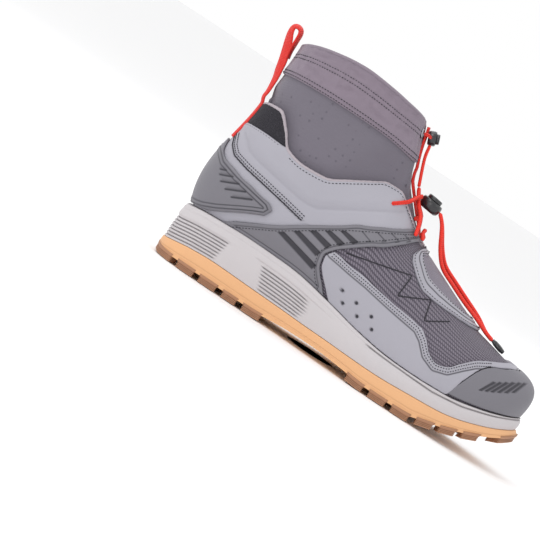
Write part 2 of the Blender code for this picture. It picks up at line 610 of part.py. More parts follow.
def two_sided(name, a, b, across, look, low, first=None):
    """The same, from the outer side round the toe or the heel to the inner side; the last row of a and b is the middle. first, if given, is the middle point of the first row."""
    v = np.linspace(0, 1, across)[None, :, None]
    kh = a[:, None] * (1 - v) + b[:, None] * v
    if first is not None:
        kh[0, across // 2] = first
    halves = []
    for side in (LATERAL, MEDIAL):
        p, n = upper_face(kh[..., 0], side, kh[..., 1])
        halves.append((p, n))
    mid_p = (halves[0][0][-1:] + halves[1][0][-1:]) / 2
    mid_n = halves[0][1][-1:] + halves[1][1][-1:]
    mid_n /= np.linalg.norm(mid_n, axis=-1, keepdims=True)
    p = np.concatenate([halves[0][0][:-1], mid_p, halves[1][0][:-1][::-1]])
    n = np.concatenate([halves[0][1][:-1], mid_n, halves[1][1][:-1][::-1]])
    return slab(name, place(p + n * (low + OVERLAY)), place(p + n * low), look)


STRAP_REAR = [(33, 47.5), (46, 54.3), (57, 60.2), (68, 66), (87, 78.6), (112, 95), (129, 105), (145, 114.5), (153, 119.3)]
STRAP_FRONT = [(128.5, 42.4), (121.6, 47.5), (114.5, 54), (110.3, 60), (108.8, 67), (112.5, 73.5), (122, 82), (137.5, 94), (153, 107), (161, 114)]
for side, name in ((LATERAL, "strap_lateral"), (MEDIAL, "strap_medial")):
    overlay(name, curve_on(STRAP_REAR, 13), curve_on(STRAP_FRONT, 13), 5, side, DARK, 1.0)

COUNTER_TOP = [(60, 73.0), (54.6, 76.5), (40.5, 78.8), (26, 81.2), (13, 84.5), (5, 91), (-1.5, 98)]
COUNTER_LOW = [(57.0, 67.0), (49, 63.3), (41.3, 59.2), (26, 50.4), (17, 45.9), (11, 44.0), (5.2, 43.2)]
top = curve_on(COUNTER_TOP, 12)
low = curve_on(COUNTER_LOW, 12)
top[-1, 0] = low[-1, 0] = 0.0
low[:, 1] = np.maximum(low[:, 1], 0.02)
two_sided("heel_counter", top, low, 5, DARK, 1.2)

CAP_EDGE = [(236.5, 36.6), (242, 50), (248, 62), (253.5, 67.4), (264, 71.8), (270.5, 74.4), (275, 76.0), (277, 76.7)]
cap = curve_on(CAP_EDGE, 11)
cap[:, 1] = np.maximum(cap[:, 1], 0.02)
cap[-1, 0] = LAST_ROW
cap_low = np.stack([np.linspace(cap[0, 0] + 0.25, LAST_ROW, 11), np.full(11, 0.02)], -1)
two_sided("toe_cap", cap, cap_low, 5, DARK, 1.1)

RAND_TOP = [(113.9, 73.4), (132, 71.8), (147.5, 71), (174, 68), (195, 65.6), (203, 61), (211, 53.4), (219, 50.4), (227, 52.6), (234, 59.5), (242, 66.4), (252, 71.4), (260, 74.6), (265, 76.4), (266.5, 76.9)]
RAND_LOW = [(130.2, 42.0), (150, 39.4), (165, 38.0), (185, 36.4), (200, 35.8), (212, 35.8), (224, 36.0), (234.6, 36.8), (240.2, 50.6), (246.3, 62.8), (252.2, 68.6), (259, 71.3), (269.4, 75.1), (273.6, 76.4), (275.4, 76.8)]
# both curves are stepped by the same points, so that a station on one faces its station on the other
kh_top = np.array([on_upper(x, z, LATERAL) for x, z in RAND_TOP])
kh_low = np.array([on_upper(x, z, LATERAL) for x, z in RAND_LOW])
kh_low[:, 1] = np.maximum(kh_low[:, 1], 0.02)
kh_top[-1, 0] = kh_low[-1, 0] = LAST_ROW
keys = np.array([0, 1, 2, 3.6, 4.9, 5.6, 6.3, 7, 7.7, 8.7, 9.6, 10.4, 11.2, 11.9, 12.4])
fine = np.sort(np.concatenate([keys, (keys[4:9] + keys[3:8]) / 2]))
two_sided("rand", through(keys, kh_top, fine), through(keys, kh_low, fine), 3, PALE, 0.9, on_upper(112.8, 61.0, LATERAL))


# the pocket for the lace ends, on the instep

_plan = {}


def instep(x, y, off):
    """Points off above the upper at plan points (x, y), also a little past its edge at the throat."""
    if not _plan:
        ks, hs = np.meshgrid(np.linspace(10.5, LAST_ROW, 153), np.linspace(0.35, 1, 66), indexing="ij")
        parts = [upper_face(ks, s, hs) for s in (LATERAL, MEDIAL)]
        _plan["p"] = np.concatenate([a.reshape(-1, 3) for a, _ in parts])
        _plan["n"] = np.concatenate([b.reshape(-1, 3) for _, b in parts])
    q, n = _plan["p"], _plan["n"]
    out = []
    for a, b in zip(np.ravel(x), np.ravel(y)):
        i = int(((q[:, 0] - a) ** 2 + (q[:, 1] - b) ** 2).argmin())
        z = q[i, 2] - (n[i, 0] * (a - q[i, 0]) + n[i, 1] * (b - q[i, 1])) / max(n[i, 2], 0.2)
        out.append(np.array([a, b, z]) + n[i] * off)
    return np.array(out).reshape(*np.shape(x), 3)


# half widths along the pocket: x, frame, window
POCKET_REAR, POCKET_FRONT = 165.5, 233.0
POCKET = [(164.5, 34.0), (172, 35.5), (182, 35.0), (193, 33.0), (204, 29.6), (216, 23.6), (225, 16.4), (230.5, 8.6)]
WINDOW = [(171.0, 25.5), (182, 25.5), (194, 23.4), (205, 19.8), (214, 14.6), (220, 7.6)]


def pocket_ring(table, rear, front, count):
    """A closed outline in plan with rounded front, as (n, 2)."""
    t = np.array(table, float)
    r = t[0, 1]
    pts = [(rear, -14.0), (rear - 3.6, -r + 2.6)] + [(a, -b) for a, b in table] + [(front, 0.0)] + [(a, b) for a, b in table[::-1]] + [(rear - 3.6, r - 2.6), (rear, 14.0), (rear, 0.0)]
    pts = np.array(pts)
    loop = np.concatenate([pts, pts[:1]])
    run = np.concatenate([[0], np.cumsum(np.linalg.norm(np.diff(loop, axis=0), axis=1))])
    at = np.linspace(0, run[-1], count + 1)[:-1]
    return np.stack([np.interp(at, run, loop[:, 0]), np.interp(at, run, loop[:, 1])], -1)


def by_angle(loop, centre, angles):
    """The outline's points seen from centre at the given angles."""
    d = loop - np.array(centre)
    a = np.arctan2(d[:, 1], d[:, 0])
    o = np.argsort(a)
    a, r = a[o], np.linalg.norm(d, axis=1)[o]
    a = np.concatenate([a - 2 * math.pi, a, a + 2 * math.pi])
    r = np.tile(r, 3)
    rr = np.interp(angles, a, r)
    return np.stack([centre[0] + rr * np.cos(angles), centre[1] + rr * np.sin(angles)], -1)


ANG = np.linspace(-math.pi, math.pi, 29)[:-1]
MID = (197.0, 0.0)
out_ring = by_angle(pocket_ring(POCKET, POCKET_REAR, POCKET_FRONT, 400), MID, ANG)
in_ring = by_angle(pocket_ring(WINDOW, 170.5, 221.5, 400), MID, ANG)
share = np.array([0.0, 0.5, 1.0])[None, :, None]
flat = in_ring[:, None] * (1 - share) + out_ring[:, None] * share
slab("lace_pocket", place(instep(flat[..., 0], flat[..., 1], 2.6)), place(instep(flat[..., 0], flat[..., 1], 1.0)), PALE, wrap=True)
# its window: a thin sheet just inside the frame
xs = np.linspace(173.6, 218.4, 6)
rows = []
for x in xs:
    half = np.interp(x, [a for a, _ in WINDOW] + [221.5], [b for _, b in WINDOW] + [2.0]) - 2.6
    if x > 218:
        half = 4.0
    rows.append([(x, y) for y in np.linspace(-half, half, 5)])
pane = np.array(rows)
slab("pocket_window", place(instep(pane[..., 0], pane[..., 1], 1.9)), place(instep(pane[..., 0], pane[..., 1], 1.1)), MESH)


# the cuff round the shaft's top

SEAM = [(6, 158.5), (20, 161.6), (35.5, 162.9), (58.7, 163.6), (77, 163.6), (99, 162.8), (112, 161.2), (124, 159.0)]


def seam_share(k, side):
    hs = np.linspace(0.5, 1.0, 120)
    p = bootie_raw(np.full(120, float(k)), side, hs)
    above = p[:, 2] - line_at(SEAM, p[:, 0])
    i = int((above > 0).argmax())
    if above[i] <= 0:
        return 0.985
    return float(min(hs[i], 0.985))


CUFF_COLS = [0, 0.7, 1.4, 2, 2.5, 3, 3.5, 4, 5, 6, 7, 8, 8.8, 9.5, 10, 10.5, 11, 11.5, 12, 12.2]
cuff_h = [seam_share(k, LATERAL) for k in CUFF_COLS]
v = np.array([0.0, 0.5, 1.0])
ROWS = len(v)
halves = []
for side, order in ((LATERAL, list(range(len(CUFF_COLS)))), (MEDIAL, list(range(len(CUFF_COLS) - 2, 0, -1)))):
    a = np.array([[CUFF_COLS[i]] * ROWS for i in order], float)
    b = np.array([cuff_h[i] + (1 - cuff_h[i]) * v for i in order])
    halves.append(bootie_face(a, side, b))
p = np.concatenate([halves[0][0], halves[1][0]])
n = np.concatenate([halves[0][1], halves[1][1]])
cuff_out, cuff_in = p + n * (0.8 + CUFF_BAND), p + n * 0.8
total, half = len(p), len(CUFF_COLS)
verts = np.concatenate([cuff_out.reshape(-1, 3), cuff_in.reshape(-1, 3)])
for grid in (verts[: total * ROWS].reshape(total, ROWS, 3), verts[total * ROWS :].reshape(total, ROWS, 3)):
    grid[:, -1, 2] += 0.8
    for i in range(1, half - 1):
        if CUFF_COLS[i] >= 11:
            grid[i, -1] = grid[total - i, -1] = (grid[i, -1] + grid[total - i, -1]) / 2
    grid[half - 1, :, 1] *= 0
faces = []
for i in range(total):
    j2 = (i + 1) % total
    o_ = total * ROWS
    for j in range(ROWS - 1):
        faces.append((i * ROWS + j, j2 * ROWS + j, j2 * ROWS + j + 1, i * ROWS + j + 1))
        faces.append((o_ + i * ROWS + j, o_ + i * ROWS + j + 1, o_ + j2 * ROWS + j + 1, o_ + j2 * ROWS + j))
    faces.append((i * ROWS, o_ + i * ROWS, o_ + j2 * ROWS, j2 * ROWS))
    ki = (CUFF_COLS + CUFF_COLS[-2:0:-1])[i]
    kj = (CUFF_COLS + CUFF_COLS[-2:0:-1])[j2]
    if not (ki >= 11 and kj >= 11):
        faces.append((i * ROWS + ROWS - 1, j2 * ROWS + ROWS - 1, o_ + j2 * ROWS + ROWS - 1, o_ + i * ROWS + ROWS - 1))
solid("cuff", place(verts), faces, SOCK)


# webbing: a strip with a given width and thickness along a line in the middle plane

def strip(name, line, lift, bulge, look, twist=0.0):
    """line is (x, z) on the face below it; the strip's under face is lift above, bulge is the face's radius across, and twist turns it about its own line, in degrees."""
    q = np.array(line, float)
    d = np.gradient(q, axis=0)
    d /= np.linalg.norm(d, axis=1, keepdims=True)
    nrm = np.stack([d[:, 1], -d[:, 0]], -1)
    lift = np.broadcast_to(np.asarray(lift, float), len(q))
    ys = np.linspace(-WEBBING_WIDTH / 2, WEBBING_WIDTH / 2, 3)
    turn = np.radians(np.broadcast_to(np.asarray(twist, float), len(q)))
    grids = []
    for extra in (WEBBING, 0.0):
        g = np.zeros((len(q), 3, 3))
        for j, y in enumerate(ys):
            drop = y * y / (2 * bulge) if bulge else 0.0
            c = q + nrm * (lift + (extra - drop) * np.cos(turn) + y * np.sin(turn))[:, None]
            g[:, j] = np.stack([c[:, 0], y * np.cos(turn) - extra * np.sin(turn), c[:, 1]], -1)
        grids.append(g)
    return slab(name, place(grids[0]), place(grids[1]), look)


ks = np.array([14.5, 14.3, 14.15, 14.0, 13.75, 13.5, 13.25, 13, 12.75, 12.5, 12.25, 12, 11.75, 11.5, 11.08])
cx = bootie_raw(ks, LATERAL, np.ones(len(ks)))
lift = np.interp(ks, [12.75, 13.2], [4.2, 1.8])
strip("front_webbing", list(zip(cx[:, 0], cx[:, 2])), lift, 60.0, RED)

# the heel strip: up the back of the upper, then standing up as a loop above the collar
LOOP = [(6.9, 138.4), (7.4, 142), (7.1, 148), (6.6, 154), (5.4, 160), (4.4, 166), (2.3, 174), (-0.4, 182), (-2.6, 188.6), (-2.9, 192), (-0.8, 194), (2.4, 193.2), (3.8, 190), (4.0, 184), (4.3, 177), (5.4, 170.5)]
hs = np.linspace(0.5, 1.0, 60)
back = upper_at(np.zeros(60), LATERAL, hs, STRIP_GAP)
zs = np.array([100.5, 106, 112, 118, 124, 129, 133])
heel = list(zip(np.interp(zs, back[:, 2], back[:, 0]), zs))
LOOP_TWIST = [1, 6, 14, 22, 29, 34, 36, 32, 22, 18, 14, 12, 10, 9, 7, 5]
strip("pull_loop", (heel + LOOP)[::-1], 0.0, 0, RED, ([0] * len(heel) + LOOP_TWIST)[::-1])


# cords

def tube(name, points, diameter, look=RED, spacing=None):
    """A cord along a smooth line through the points, in table millimetres."""
    q = np.array(points, float)
    run = np.concatenate([[0], np.cumsum(np.linalg.norm(np.diff(q, axis=0), axis=1))])
    n_ = max(4, int(round(run[-1] / (spacing or diameter * 2.2))))
    w = place(through(run, q, np.linspace(0, run[-1], n_)))
    cu = bpy.data.curves.new(name, "CURVE")
    cu.dimensions = "3D"
    sp = cu.splines.new("POLY")
    sp.points.add(n_ - 1)
    for i, c in enumerate(w):
        sp.points[i].co = (*c, 1)
    cu.bevel_depth = diameter / 2000
    cu.bevel_resolution = 1
    cu.use_fill_caps = True
    o = bpy.data.objects.new(name, cu)
    bpy.context.collection.objects.link(o)
    return paint(o, *look)


def barrel(name, centre, axis, profile, look, sides=12):
    """A turned body: profile rows are (along the axis, radius)."""
    a = Vector(axis).normalized()
    u = a.orthogonal().normalized()
    w = a.cross(u)
    c = place(np.array(centre, float))
    verts, faces = [], []
    for t, r in profile:
        for i in range(sides):
            g = 2 * math.pi * i / sides
            verts.append(tuple(c + 0.001 * (np.array(a) * t + r * (np.array(u) * math.cos(g) + np.array(w) * math.sin(g)))))
    m = len(profile)
    for j in range(m - 1):
        for i in range(sides):
            i2 = (i + 1) % sides
            faces.append((j * sides + i, j * sides + i2, (j + 1) * sides + i2, (j + 1) * sides + i))
    faces.append(tuple(reversed(range(sides))))
    faces.append(tuple((m - 1) * sides + i for i in range(sides)))
    return solid(name, verts, faces, look)


def washer(name, centre, axis, outer, hole, thick, look, sides=10):
    a = Vector(axis).normalized()
    u = a.orthogonal().normalized()
    w = a.cross(u)
    c = place(np.array(centre, float))
    ring_ = []
    for i in range(sides):
        g = 2 * math.pi * i / sides
        d = np.array(u) * math.cos(g) + np.array(w) * math.sin(g)
        ring_.append([c + 0.001 * (d * r + np.array(a) * t) for r, t in ((hole, 0), (outer, 0), (outer, thick * 0.5), (outer - 0.6, thick), (hole + 0.5, thick), (hole, thick * 0.5))])
    verts = [tuple(v_) for col in ring_ for v_ in col]
    faces = []
    for i in range(sides):
        i2 = (i + 1) % sides
        for j in range(6):
            j2 = (j + 1) % 6
            faces.append((i * 6 + j, i2 * 6 + j, i2 * 6 + j2, i * 6 + j2))
    return solid(name, verts, faces, look)


LACE = 3.0


def on_face(x, z, side, off):
    k, h = on_upper(x, z, side)
    p, n = upper_face(np.array([k]), side, np.array([h]))
    return p[0] + n[0] * off, n[0]


BIG = (153.0, 0.0, 141.2)
BIG_AXIS = (0.12, 0.0, 0.99)
barrel("cord_lock_body", BIG, BIG_AXIS, [(-5.2, 6.8), (-4.0, 8.0), (-1.0, 8.6), (2.2, 8.4), (3.2, 7.6)], BLACK)
barrel("cord_lock_button", BIG, BIG_AXIS, [(3.5, 6.0), (5.2, 6.0), (6.2, 5.2)], BLACK)
SMALL = (126.8, 0.0, 180.6)
SMALL_AXIS = (0.93, 0.0, 0.37)
barrel("cuff_lock_body", SMALL, SMALL_AXIS, [(-3.0, 4.6), (-2.0, 5.6), (2.2, 5.6), (3.0, 5.0)], BLACK)
barrel("cuff_lock_button", SMALL, SMALL_AXIS, [(3.3, 4.0), (4.8, 4.0), (5.6, 3.4)], BLACK)


def mirrored(half_points):
    q = [np.array(p_, float) for p_ in half_points]
    return q + [p_ * np.array([1, -1, 1]) for p_ in q[-2::-1]]


# each side: from the collar's hole over the flap's edge into the lock
for side, word in ((LATERAL, "lateral"), (MEDIAL, "medial")):
    y = side
    hole, n0 = on_face(128.6, 124.4, side, LACE / 2 + STRIP_GAP + 0.25)
    edge, n1 = on_face(136.5, 131.2, side, 3.0)
    tube("lace_run_" + word, [hole, (edge + hole) / 2 + n1 * 0.5, edge + np.array([0.8, 0, 1.4]), (141.8, y * 13.2, 139.6), (144.6, y * 8.8, 142.4)], LACE)

# from strap hole to strap hole, behind the lock, and two bars lower down
strap_hole, sn = on_face(154.0, 113.8, LATERAL, 1.0 + OVERLAY + LACE / 2 + STRIP_GAP + 0.25)
tube("lace_over", mirrored([strap_hole, (154.0, -23.8, 123.6), (151.0, -17.6, 130.2), (146.6, -12.4, 134.4), (142.4, -8.2, 140.0), (139.6, -3.8, 144.2), (139.2, 0.0, 145.0)]), LACE)
tube("lace_bar_inner", mirrored([(148.6, -16.6, 125.6), (150.4, -12.6, 127.8), (151.4, -7.0, 129.6), (151.6, 0, 130.2)]), LACE)
base_hole, bn = on_face(159.6, 114.2, LATERAL, 1.0 + OVERLAY + LACE / 2 + STRIP_GAP + 0.3)
tube("lace_bar_base", mirrored([base_hole, (159.5, -14.6, 120.6), (159.5, -9.0, 122.8), (159.6, -5.0, 122.8), (159.8, 0, 123.2)]), LACE)

# the two ends, from the lock over the pocket to their clip
for y, word in ((-1.0, "outer"), (1.0, "inner")):
    rise = 2.6 if y > 0 else 0.0
    over = [(184, 3.6, 5.0 + rise), (196, 3.9, 4.6 + rise), (210, 3.4, 4.6 + rise), (226, 2.9, 4.9 + rise * 0.6), (238, 2.5, 3.4), (245.5, 2.2, 2.7)]
    low_part = [instep(np.array([a]), np.array([y * b]), c)[0] for a, b, c in over]
    tube("lace_tail_" + word, [(162.6, y * 2.6, 139.4), (166.5, y * 2.8, 135.6), (171.5, y * 3.1, 127.5 + rise * 0.6), (176.0, y * 3.4, 119.6 + rise)] + low_part, LACE)

clip_a, clip_b = instep(np.array([246.2]), np.array([0.0]), 3.0)[0], instep(np.array([257.0]), np.array([0.0]), 3.0)[0]
run_ = (clip_b - clip_a) / np.linalg.norm(clip_b - clip_a)
up_ = np.array([-run_[2], 0.0, run_[0]])
clip_rows = []
for t_, hw, ht in ((0.0, 4.2, 1.5), (1.4, 4.9, 2.1), (8.6, 4.4, 2.1), (10.6, 3.2, 1.5)):
    c_ = clip_a + run_ * t_
    clip_rows.append([c_ + np.array([0, a_ * hw, 0]) + up_ * b_ * ht for a_, b_ in ((-1, -0.5), (-0.6, -1), (0.6, -1), (1, -0.5), (1, 0.5), (0.6, 1), (-0.6, 1), (-1, 0.5))])
cv, cf = [], []
for r_ in clip_rows:
    cv += r_
for j_ in range(3):
    for i_ in range(8):
        i2_ = (i_ + 1) % 8
        cf.append((j_ * 8 + i_, j_ * 8 + i2_, j_ * 8 + 8 + i2_, j_ * 8 + 8 + i_))
cf += [tuple(reversed(range(8))), tuple(24 + i_ for i_ in range(8))]
solid("lace_end_clip", place(np.array(cv)), cf, BLACK)

# the drawcord: two eyelets in the cuff, the small lock, and two strands down the webbing
for side, word in ((LATERAL, "lateral"), (MEDIAL, "medial")):
    q_, n_q = bootie_face(np.array([10.35]), side, np.array([0.925]))
    centre = q_[0] + n_q[0] * 2.5
    washer("cuff_eyelet_" + word, centre, n_q[0], 3.6, 1.7, 1.0, METAL)
    away = centre + n_q[0] * 2.9
    tube("drawcord_top_" + word, [away, away + np.array([2.6, -side * 1.4, 0.4]), (124.6, side * 8.4, 180.6), (126.4, side * 6.4, 180.4)], DRAWCORD)
    tube("drawcord_" + word, [(127.2, side * 3.0, 174.2), (129.4, side * 3.2, 168.0), (133.2, side * 3.3, 158.0), (136.6, side * 3.3, 150.0), (138.0, side * 3.3, 146.6)], DRAWCORD)
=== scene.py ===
"""Wading boot for the right foot: the finished look of every piece.

Surfaces are grids over the boot's own sections. Tables are millimetres along the boot from the back of
the heel, toe toward +X, outer side of the foot toward -Y; place() turns them into the frame's metres.
"""

import math

import bmesh
import bpy
import numpy as np
from mathutils import Matrix


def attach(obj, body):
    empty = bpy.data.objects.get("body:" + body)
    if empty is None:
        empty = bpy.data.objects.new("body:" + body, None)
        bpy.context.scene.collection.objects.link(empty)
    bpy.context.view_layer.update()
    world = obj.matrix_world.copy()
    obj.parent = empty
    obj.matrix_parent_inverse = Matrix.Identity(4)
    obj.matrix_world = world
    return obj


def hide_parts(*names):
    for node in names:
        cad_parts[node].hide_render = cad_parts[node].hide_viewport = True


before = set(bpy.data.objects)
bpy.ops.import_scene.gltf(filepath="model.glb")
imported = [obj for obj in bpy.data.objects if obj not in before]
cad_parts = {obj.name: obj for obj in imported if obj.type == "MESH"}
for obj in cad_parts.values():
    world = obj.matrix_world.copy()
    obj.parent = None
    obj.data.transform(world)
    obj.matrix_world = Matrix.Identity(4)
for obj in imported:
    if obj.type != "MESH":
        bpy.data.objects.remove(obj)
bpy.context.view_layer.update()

MM = 0.001  # metres in a millimetre
HEEL_X = 38.0  # the origin, from the back of the heel
SETTLE = 3.7  # how far the forefoot is let down, so that heel and ball share the floor
SETTLE_FROM, SETTLE_OVER = 100.0, 100.0  # where that begins, and over what length it grows
LAST_ROW = 20.0  # rows run round the last from the heel's middle, 0, to the toe's middle
BOOTIE_ROWS = 16  # the bootie's own rows, from the heel to the throat's foot
NEARLY = 0.02  # how close to a middle row a normal is still worked out
FEATHER_LIFT = 0.35  # the feather line over the midsole's top
UPPER_CREST, BOOTIE_CREST = 14.0, 11.0  # the rows from which each top line lies in the middle plane
AT_TOP = 0.999  # a share that counts as the top line itself
UNDER = 4.15  # the bootie's outer face under the upper's outer face
LATERAL, MEDIAL = -1.0, 1.0


def ease(t):
    """0 to 1 with level ends: 3 t squared less 2 t cubed."""
    t = np.clip(t, 0.0, 1.0)
    return t * t * (3 - 2 * t)


def let_down(x):
    """How far a place along the boot is lowered."""
    return SETTLE * ease((np.asarray(x, float) - SETTLE_FROM) / SETTLE_OVER)


def place(points):
    """Table millimetres to metres in the boot's frame."""
    p = np.array(points, float)
    p[..., 2] -= let_down(p[..., 0])
    p[..., 0] -= HEEL_X
    return p * MM


def unit(v):
    """Vectors scaled to length one."""
    return v / np.linalg.norm(v, axis=-1, keepdims=True)


def run_along(line):
    """Length along a line of points, 0 at its first."""
    return np.concatenate([[0], np.cumsum(np.linalg.norm(np.diff(line, axis=0), axis=-1))])


def turn(count):
    """Angles once round a circle."""
    return np.linspace(0, 2 * math.pi, count, endpoint=False)


def through(keys, values, at):
    """A smooth curve through every row of a table, with no overshoot."""
    k = np.asarray(keys, float)
    v = np.asarray(values, float)
    flat = v.ndim == 1
    if flat:
        v = v[:, None]
    step = np.diff(k)[:, None]
    d = np.diff(v, axis=0) / step
    m = np.zeros_like(v)
    w1, w2 = 2 * step[1:] + step[:-1], step[1:] + 2 * step[:-1]
    same = d[:-1] * d[1:] > 0
    safe0, safe1 = np.where(same, d[:-1], 1.0), np.where(same, d[1:], 1.0)
    m[1:-1] = np.where(same, (w1 + w2) / (w1 / safe0 + w2 / safe1), 0.0)
    m[0], m[-1] = d[0], d[-1]
    at = np.asarray(at, float)
    q = np.clip(at, k[0], k[-1])
    i = np.clip(np.searchsorted(k, q) - 1, 0, len(k) - 2)
    s = ((q - k[i]) / (k[i + 1] - k[i]))[..., None]
    h = (k[i + 1] - k[i])[..., None]
    out = (
        (2 * s**3 - 3 * s**2 + 1) * v[i]
        + (s**3 - 2 * s**2 + s) * h * m[i]
        + (-2 * s**3 + 3 * s**2) * v[i + 1]
        + (s**3 - s**2) * h * m[i + 1]
    )
    return out[..., 0] if flat else out


# side view lines: (from the back of the heel, height)
MIDSOLE_TOP = [
    (4.8, 42.0), (18, 44.6), (33, 45.8), (57, 46.8), (89, 46.2), (131, 41.3), (160, 37.3), (185, 35.2),
    (210, 34.6), (237, 35.3), (261, 39.0), (280, 43.6), (296, 48.8),
]
OUTSOLE_TOP = [
    (-2, 11.7), (12, 14.8), (25, 17.0), (44, 18.2), (82, 17.4), (114, 17.0), (150, 18.4), (191, 20.0),
    (217, 21.6), (240, 23.0), (253, 25.0), (266, 28.3), (278, 32.0), (290, 36.6), (302, 41.5),
]
# the tread's own lowest line, already on the floor
TREAD = [
    (-4, 3.5), (-1, 2.2), (6, 0.0), (88, 0.0), (100, 1.0), (118, 2.4), (140, 2.9), (165, 1.6), (182, 0.0),
    (220, 0.0), (231, 2.2), (245, 5.4), (261, 10.0), (278, 16.2), (290, 21.8), (303, 29.0),
]


def line_at(table, x):
    """Height of a side-view line, or any second column of a table, at x."""
    t = np.array(table, float)
    return through(t[:, 0], t[:, 1], x)


def tread_at(x):
    """Height of the tread's underside in table millimetres."""
    return line_at(TREAD, x) + let_down(x)


# rows round the last from the heel's centre (0) to the toe's centre (20), in plan, for each side
#        x out, y out, x in,  y in
FEATHER = [
    (7.2, 0.0, 7.2, 0.0), (10.0, 15.5, 10.0, 15.0), (20.0, 26.8, 20.0, 26.2), (34.0, 31.6, 34.0, 31.0),
    (50.0, 33.2, 50.0, 32.4), (66.0, 33.8, 66.0, 32.4), (82.0, 34.2, 82.0, 32.0), (98.0, 35.2, 98.0, 32.0),
    (112.0, 37.2, 112.0, 33.0), (126.0, 40.0, 126.0, 35.0), (140.0, 43.4, 140.0, 37.6),
    (154.0, 46.6, 154.0, 40.4), (167.0, 49.0, 167.0, 42.8), (179.0, 50.6, 179.0, 44.7),
    (191.0, 51.4, 191.0, 46.0), (212.0, 51.2, 212.0, 46.8), (234.0, 47.6, 234.0, 45.2),
    (256.0, 39.6, 256.6, 40.2), (273.8, 28.2, 275.2, 31.0), (286.0, 14.0, 287.0, 18.6),
    (291.0, -2.5, 291.0, 2.5),
]
# the upper's top line: x, half gap between the sides, height, and how its profile runs:
# slope of the upper handle, its length, the lower handle's rise and its swing outward
UPPER = [
    (9.0, 0.0, 133.0, 88, 30, 30, 15.0), (14.5, 15.8, 135.8, 88, 30, 30, 13.5),
    (24.0, 26.2, 136.6, 88, 30, 30, 11.0), (35.5, 32.0, 127.0, 88, 28, 27, 9.5),
    (46.0, 34.8, 115.2, 88, 25, 25, 9.0), (61.0, 36.2, 112.2, 87, 23, 23, 8.5),
    (78.0, 35.4, 113.4, 85, 24, 24, 8.0), (94.0, 32.6, 121.5, 80, 27, 27, 7.5),
    (108.0, 29.0, 129.8, 71, 29, 30, 7.0), (119.0, 25.0, 135.6, 60, 28, 33, 6.0),
    (129.0, 22.4, 136.0, 48, 26, 35, 5.5), (141.0, 21.0, 128.5, 39, 24, 35, 5.0),
    (153.0, 20.0, 120.0, 32, 22, 36, 4.0), (163.5, 14.0, 113.4, 22, 21, 35, 3.5),
    (171.0, 0.0, 109.4, 0, 31, 34, 3.0), (192.0, 0.0, 100.6, 0, 28.5, 32, 3.0),
    (213.0, 0.0, 91.6, 0, 27, 30, 3.0), (231.0, 0.0, 85.0, 0, 26, 27.5, 3.0),
    (246.0, 0.0, 81.4, 0, 25.5, 26, 3.5), (256.0, 0.0, 78.4, 0, 26, 24.5, 4.5),
    (262.0, 0.0, 77.0, 0, 27, 24, 5.0),
]
# the bootie's top line: x, half gap, height, and its handles:
# x, y, z of the upper one from the top line, rise and swing of the lower one
BOOTIE = [
    (11.0, 0.0, 184.5, 1.5, 0.0, -46, 40, 15.0), (15.5, 15.6, 187.2, 1.5, -1.0, -46, 40, 13.0),
    (25.0, 26.4, 190.6, 2.0, -3.0, -46, 40, 10.0), (37.5, 33.0, 193.3, 2.0, -6.0, -48, 40, 8.0),
    (50.0, 36.0, 195.2, 1.0, -8.0, -50, 40, 7.5), (62.0, 37.0, 195.9, 0.0, -9.0, -52, 40, 7.5),
    (75.0, 35.8, 195.0, 0.0, -8.0, -52, 40, 7.0), (87.0, 32.6, 193.6, 1.5, -5.5, -52, 42, 7.0),
    (98.0, 27.4, 191.8, 4.0, -1.5, -51, 44, 6.0), (106.5, 20.6, 190.4, 8.0, 4.0, -48, 44, 5.0),
    (112.5, 12.0, 188.8, 12.0, 11.0, -42, 44, 4.0), (115.8, 0.0, 185.4, 12.0, 20.0, -34, 42, 3.0),
    (120.0, 0.0, 169.5, 11.0, 21.0, -25, 40, 2.0), (127.5, 0.0, 150.5, 12.0, 21.5, -18, 38, 1.0),
    (143.0, 0.0, 131.6, 13.0, 22.0, -12, 34, 1.0), (163.0, 0.0, 110.0, 11.0, 22.0, -6, 31, 1.0),
]
K_FEATHER = np.arange(len(FEATHER))


def feather(k, side):
    """The line where the upper meets the midsole, (n, 3)."""
    t = np.array(FEATHER, float)
    cols = t[:, :2] if side == LATERAL else t[:, 2:]
    other = t[:, 2:] if side == LATERAL else t[:, :2]
    # a closed smooth curve: the far side's rows go on past the heel and the toe
    x = np.concatenate([other[3:0:-1, 0], cols[:, 0], other[-2:-5:-1, 0]])
    y = np.concatenate([-other[3:0:-1, 1], cols[:, 1], -other[-2:-5:-1, 1]]) * side
    if side == LATERAL:
            y[3 + len(FEATHER) - 1] = 2.5
    keys = np.arange(-3, len(FEATHER) + 3)
    n = len(keys)
    # natural cubic spline
    a = np.zeros((n, n))
    a[0, 0] = a[-1, -1] = 1
    for i in range(1, n - 1):
        a[i, i - 1 : i + 2] = 1, 4, 1
    out = []
    for v in (x, y):
        r = np.zeros(n)
        r[1:-1] = 6 * (v[2:] - 2 * v[1:-1] + v[:-2])
        m = np.linalg.solve(a, r)
        k_ = np.clip(np.asarray(k, float), -2.99, LAST_ROW + 2.99)
        i = np.clip(np.floor(k_).astype(int) + 3, 0, n - 2)
        s = k_ - keys[i]
        out.append(
            (m[i] * (1 - s) ** 3 + m[i + 1] * s**3) / 6
            + (v[i] - m[i] / 6) * (1 - s)
            + (v[i + 1] - m[i + 1] / 6) * s
        )
    x, y = out
    return np.stack([x, y, line_at(MIDSOLE_TOP, x) + FEATHER_LIFT], -1)


def outward(k, side):
    """The outline's level direction outward, (n, 3)."""
    k = np.asarray(k, float)
    a, b = feather(k - NEARLY, side), feather(k + NEARLY, side)
    d = b - a
    n = np.stack([d[..., 1], -d[..., 0], 0 * d[..., 0]], -1) * -side
    return unit(n)


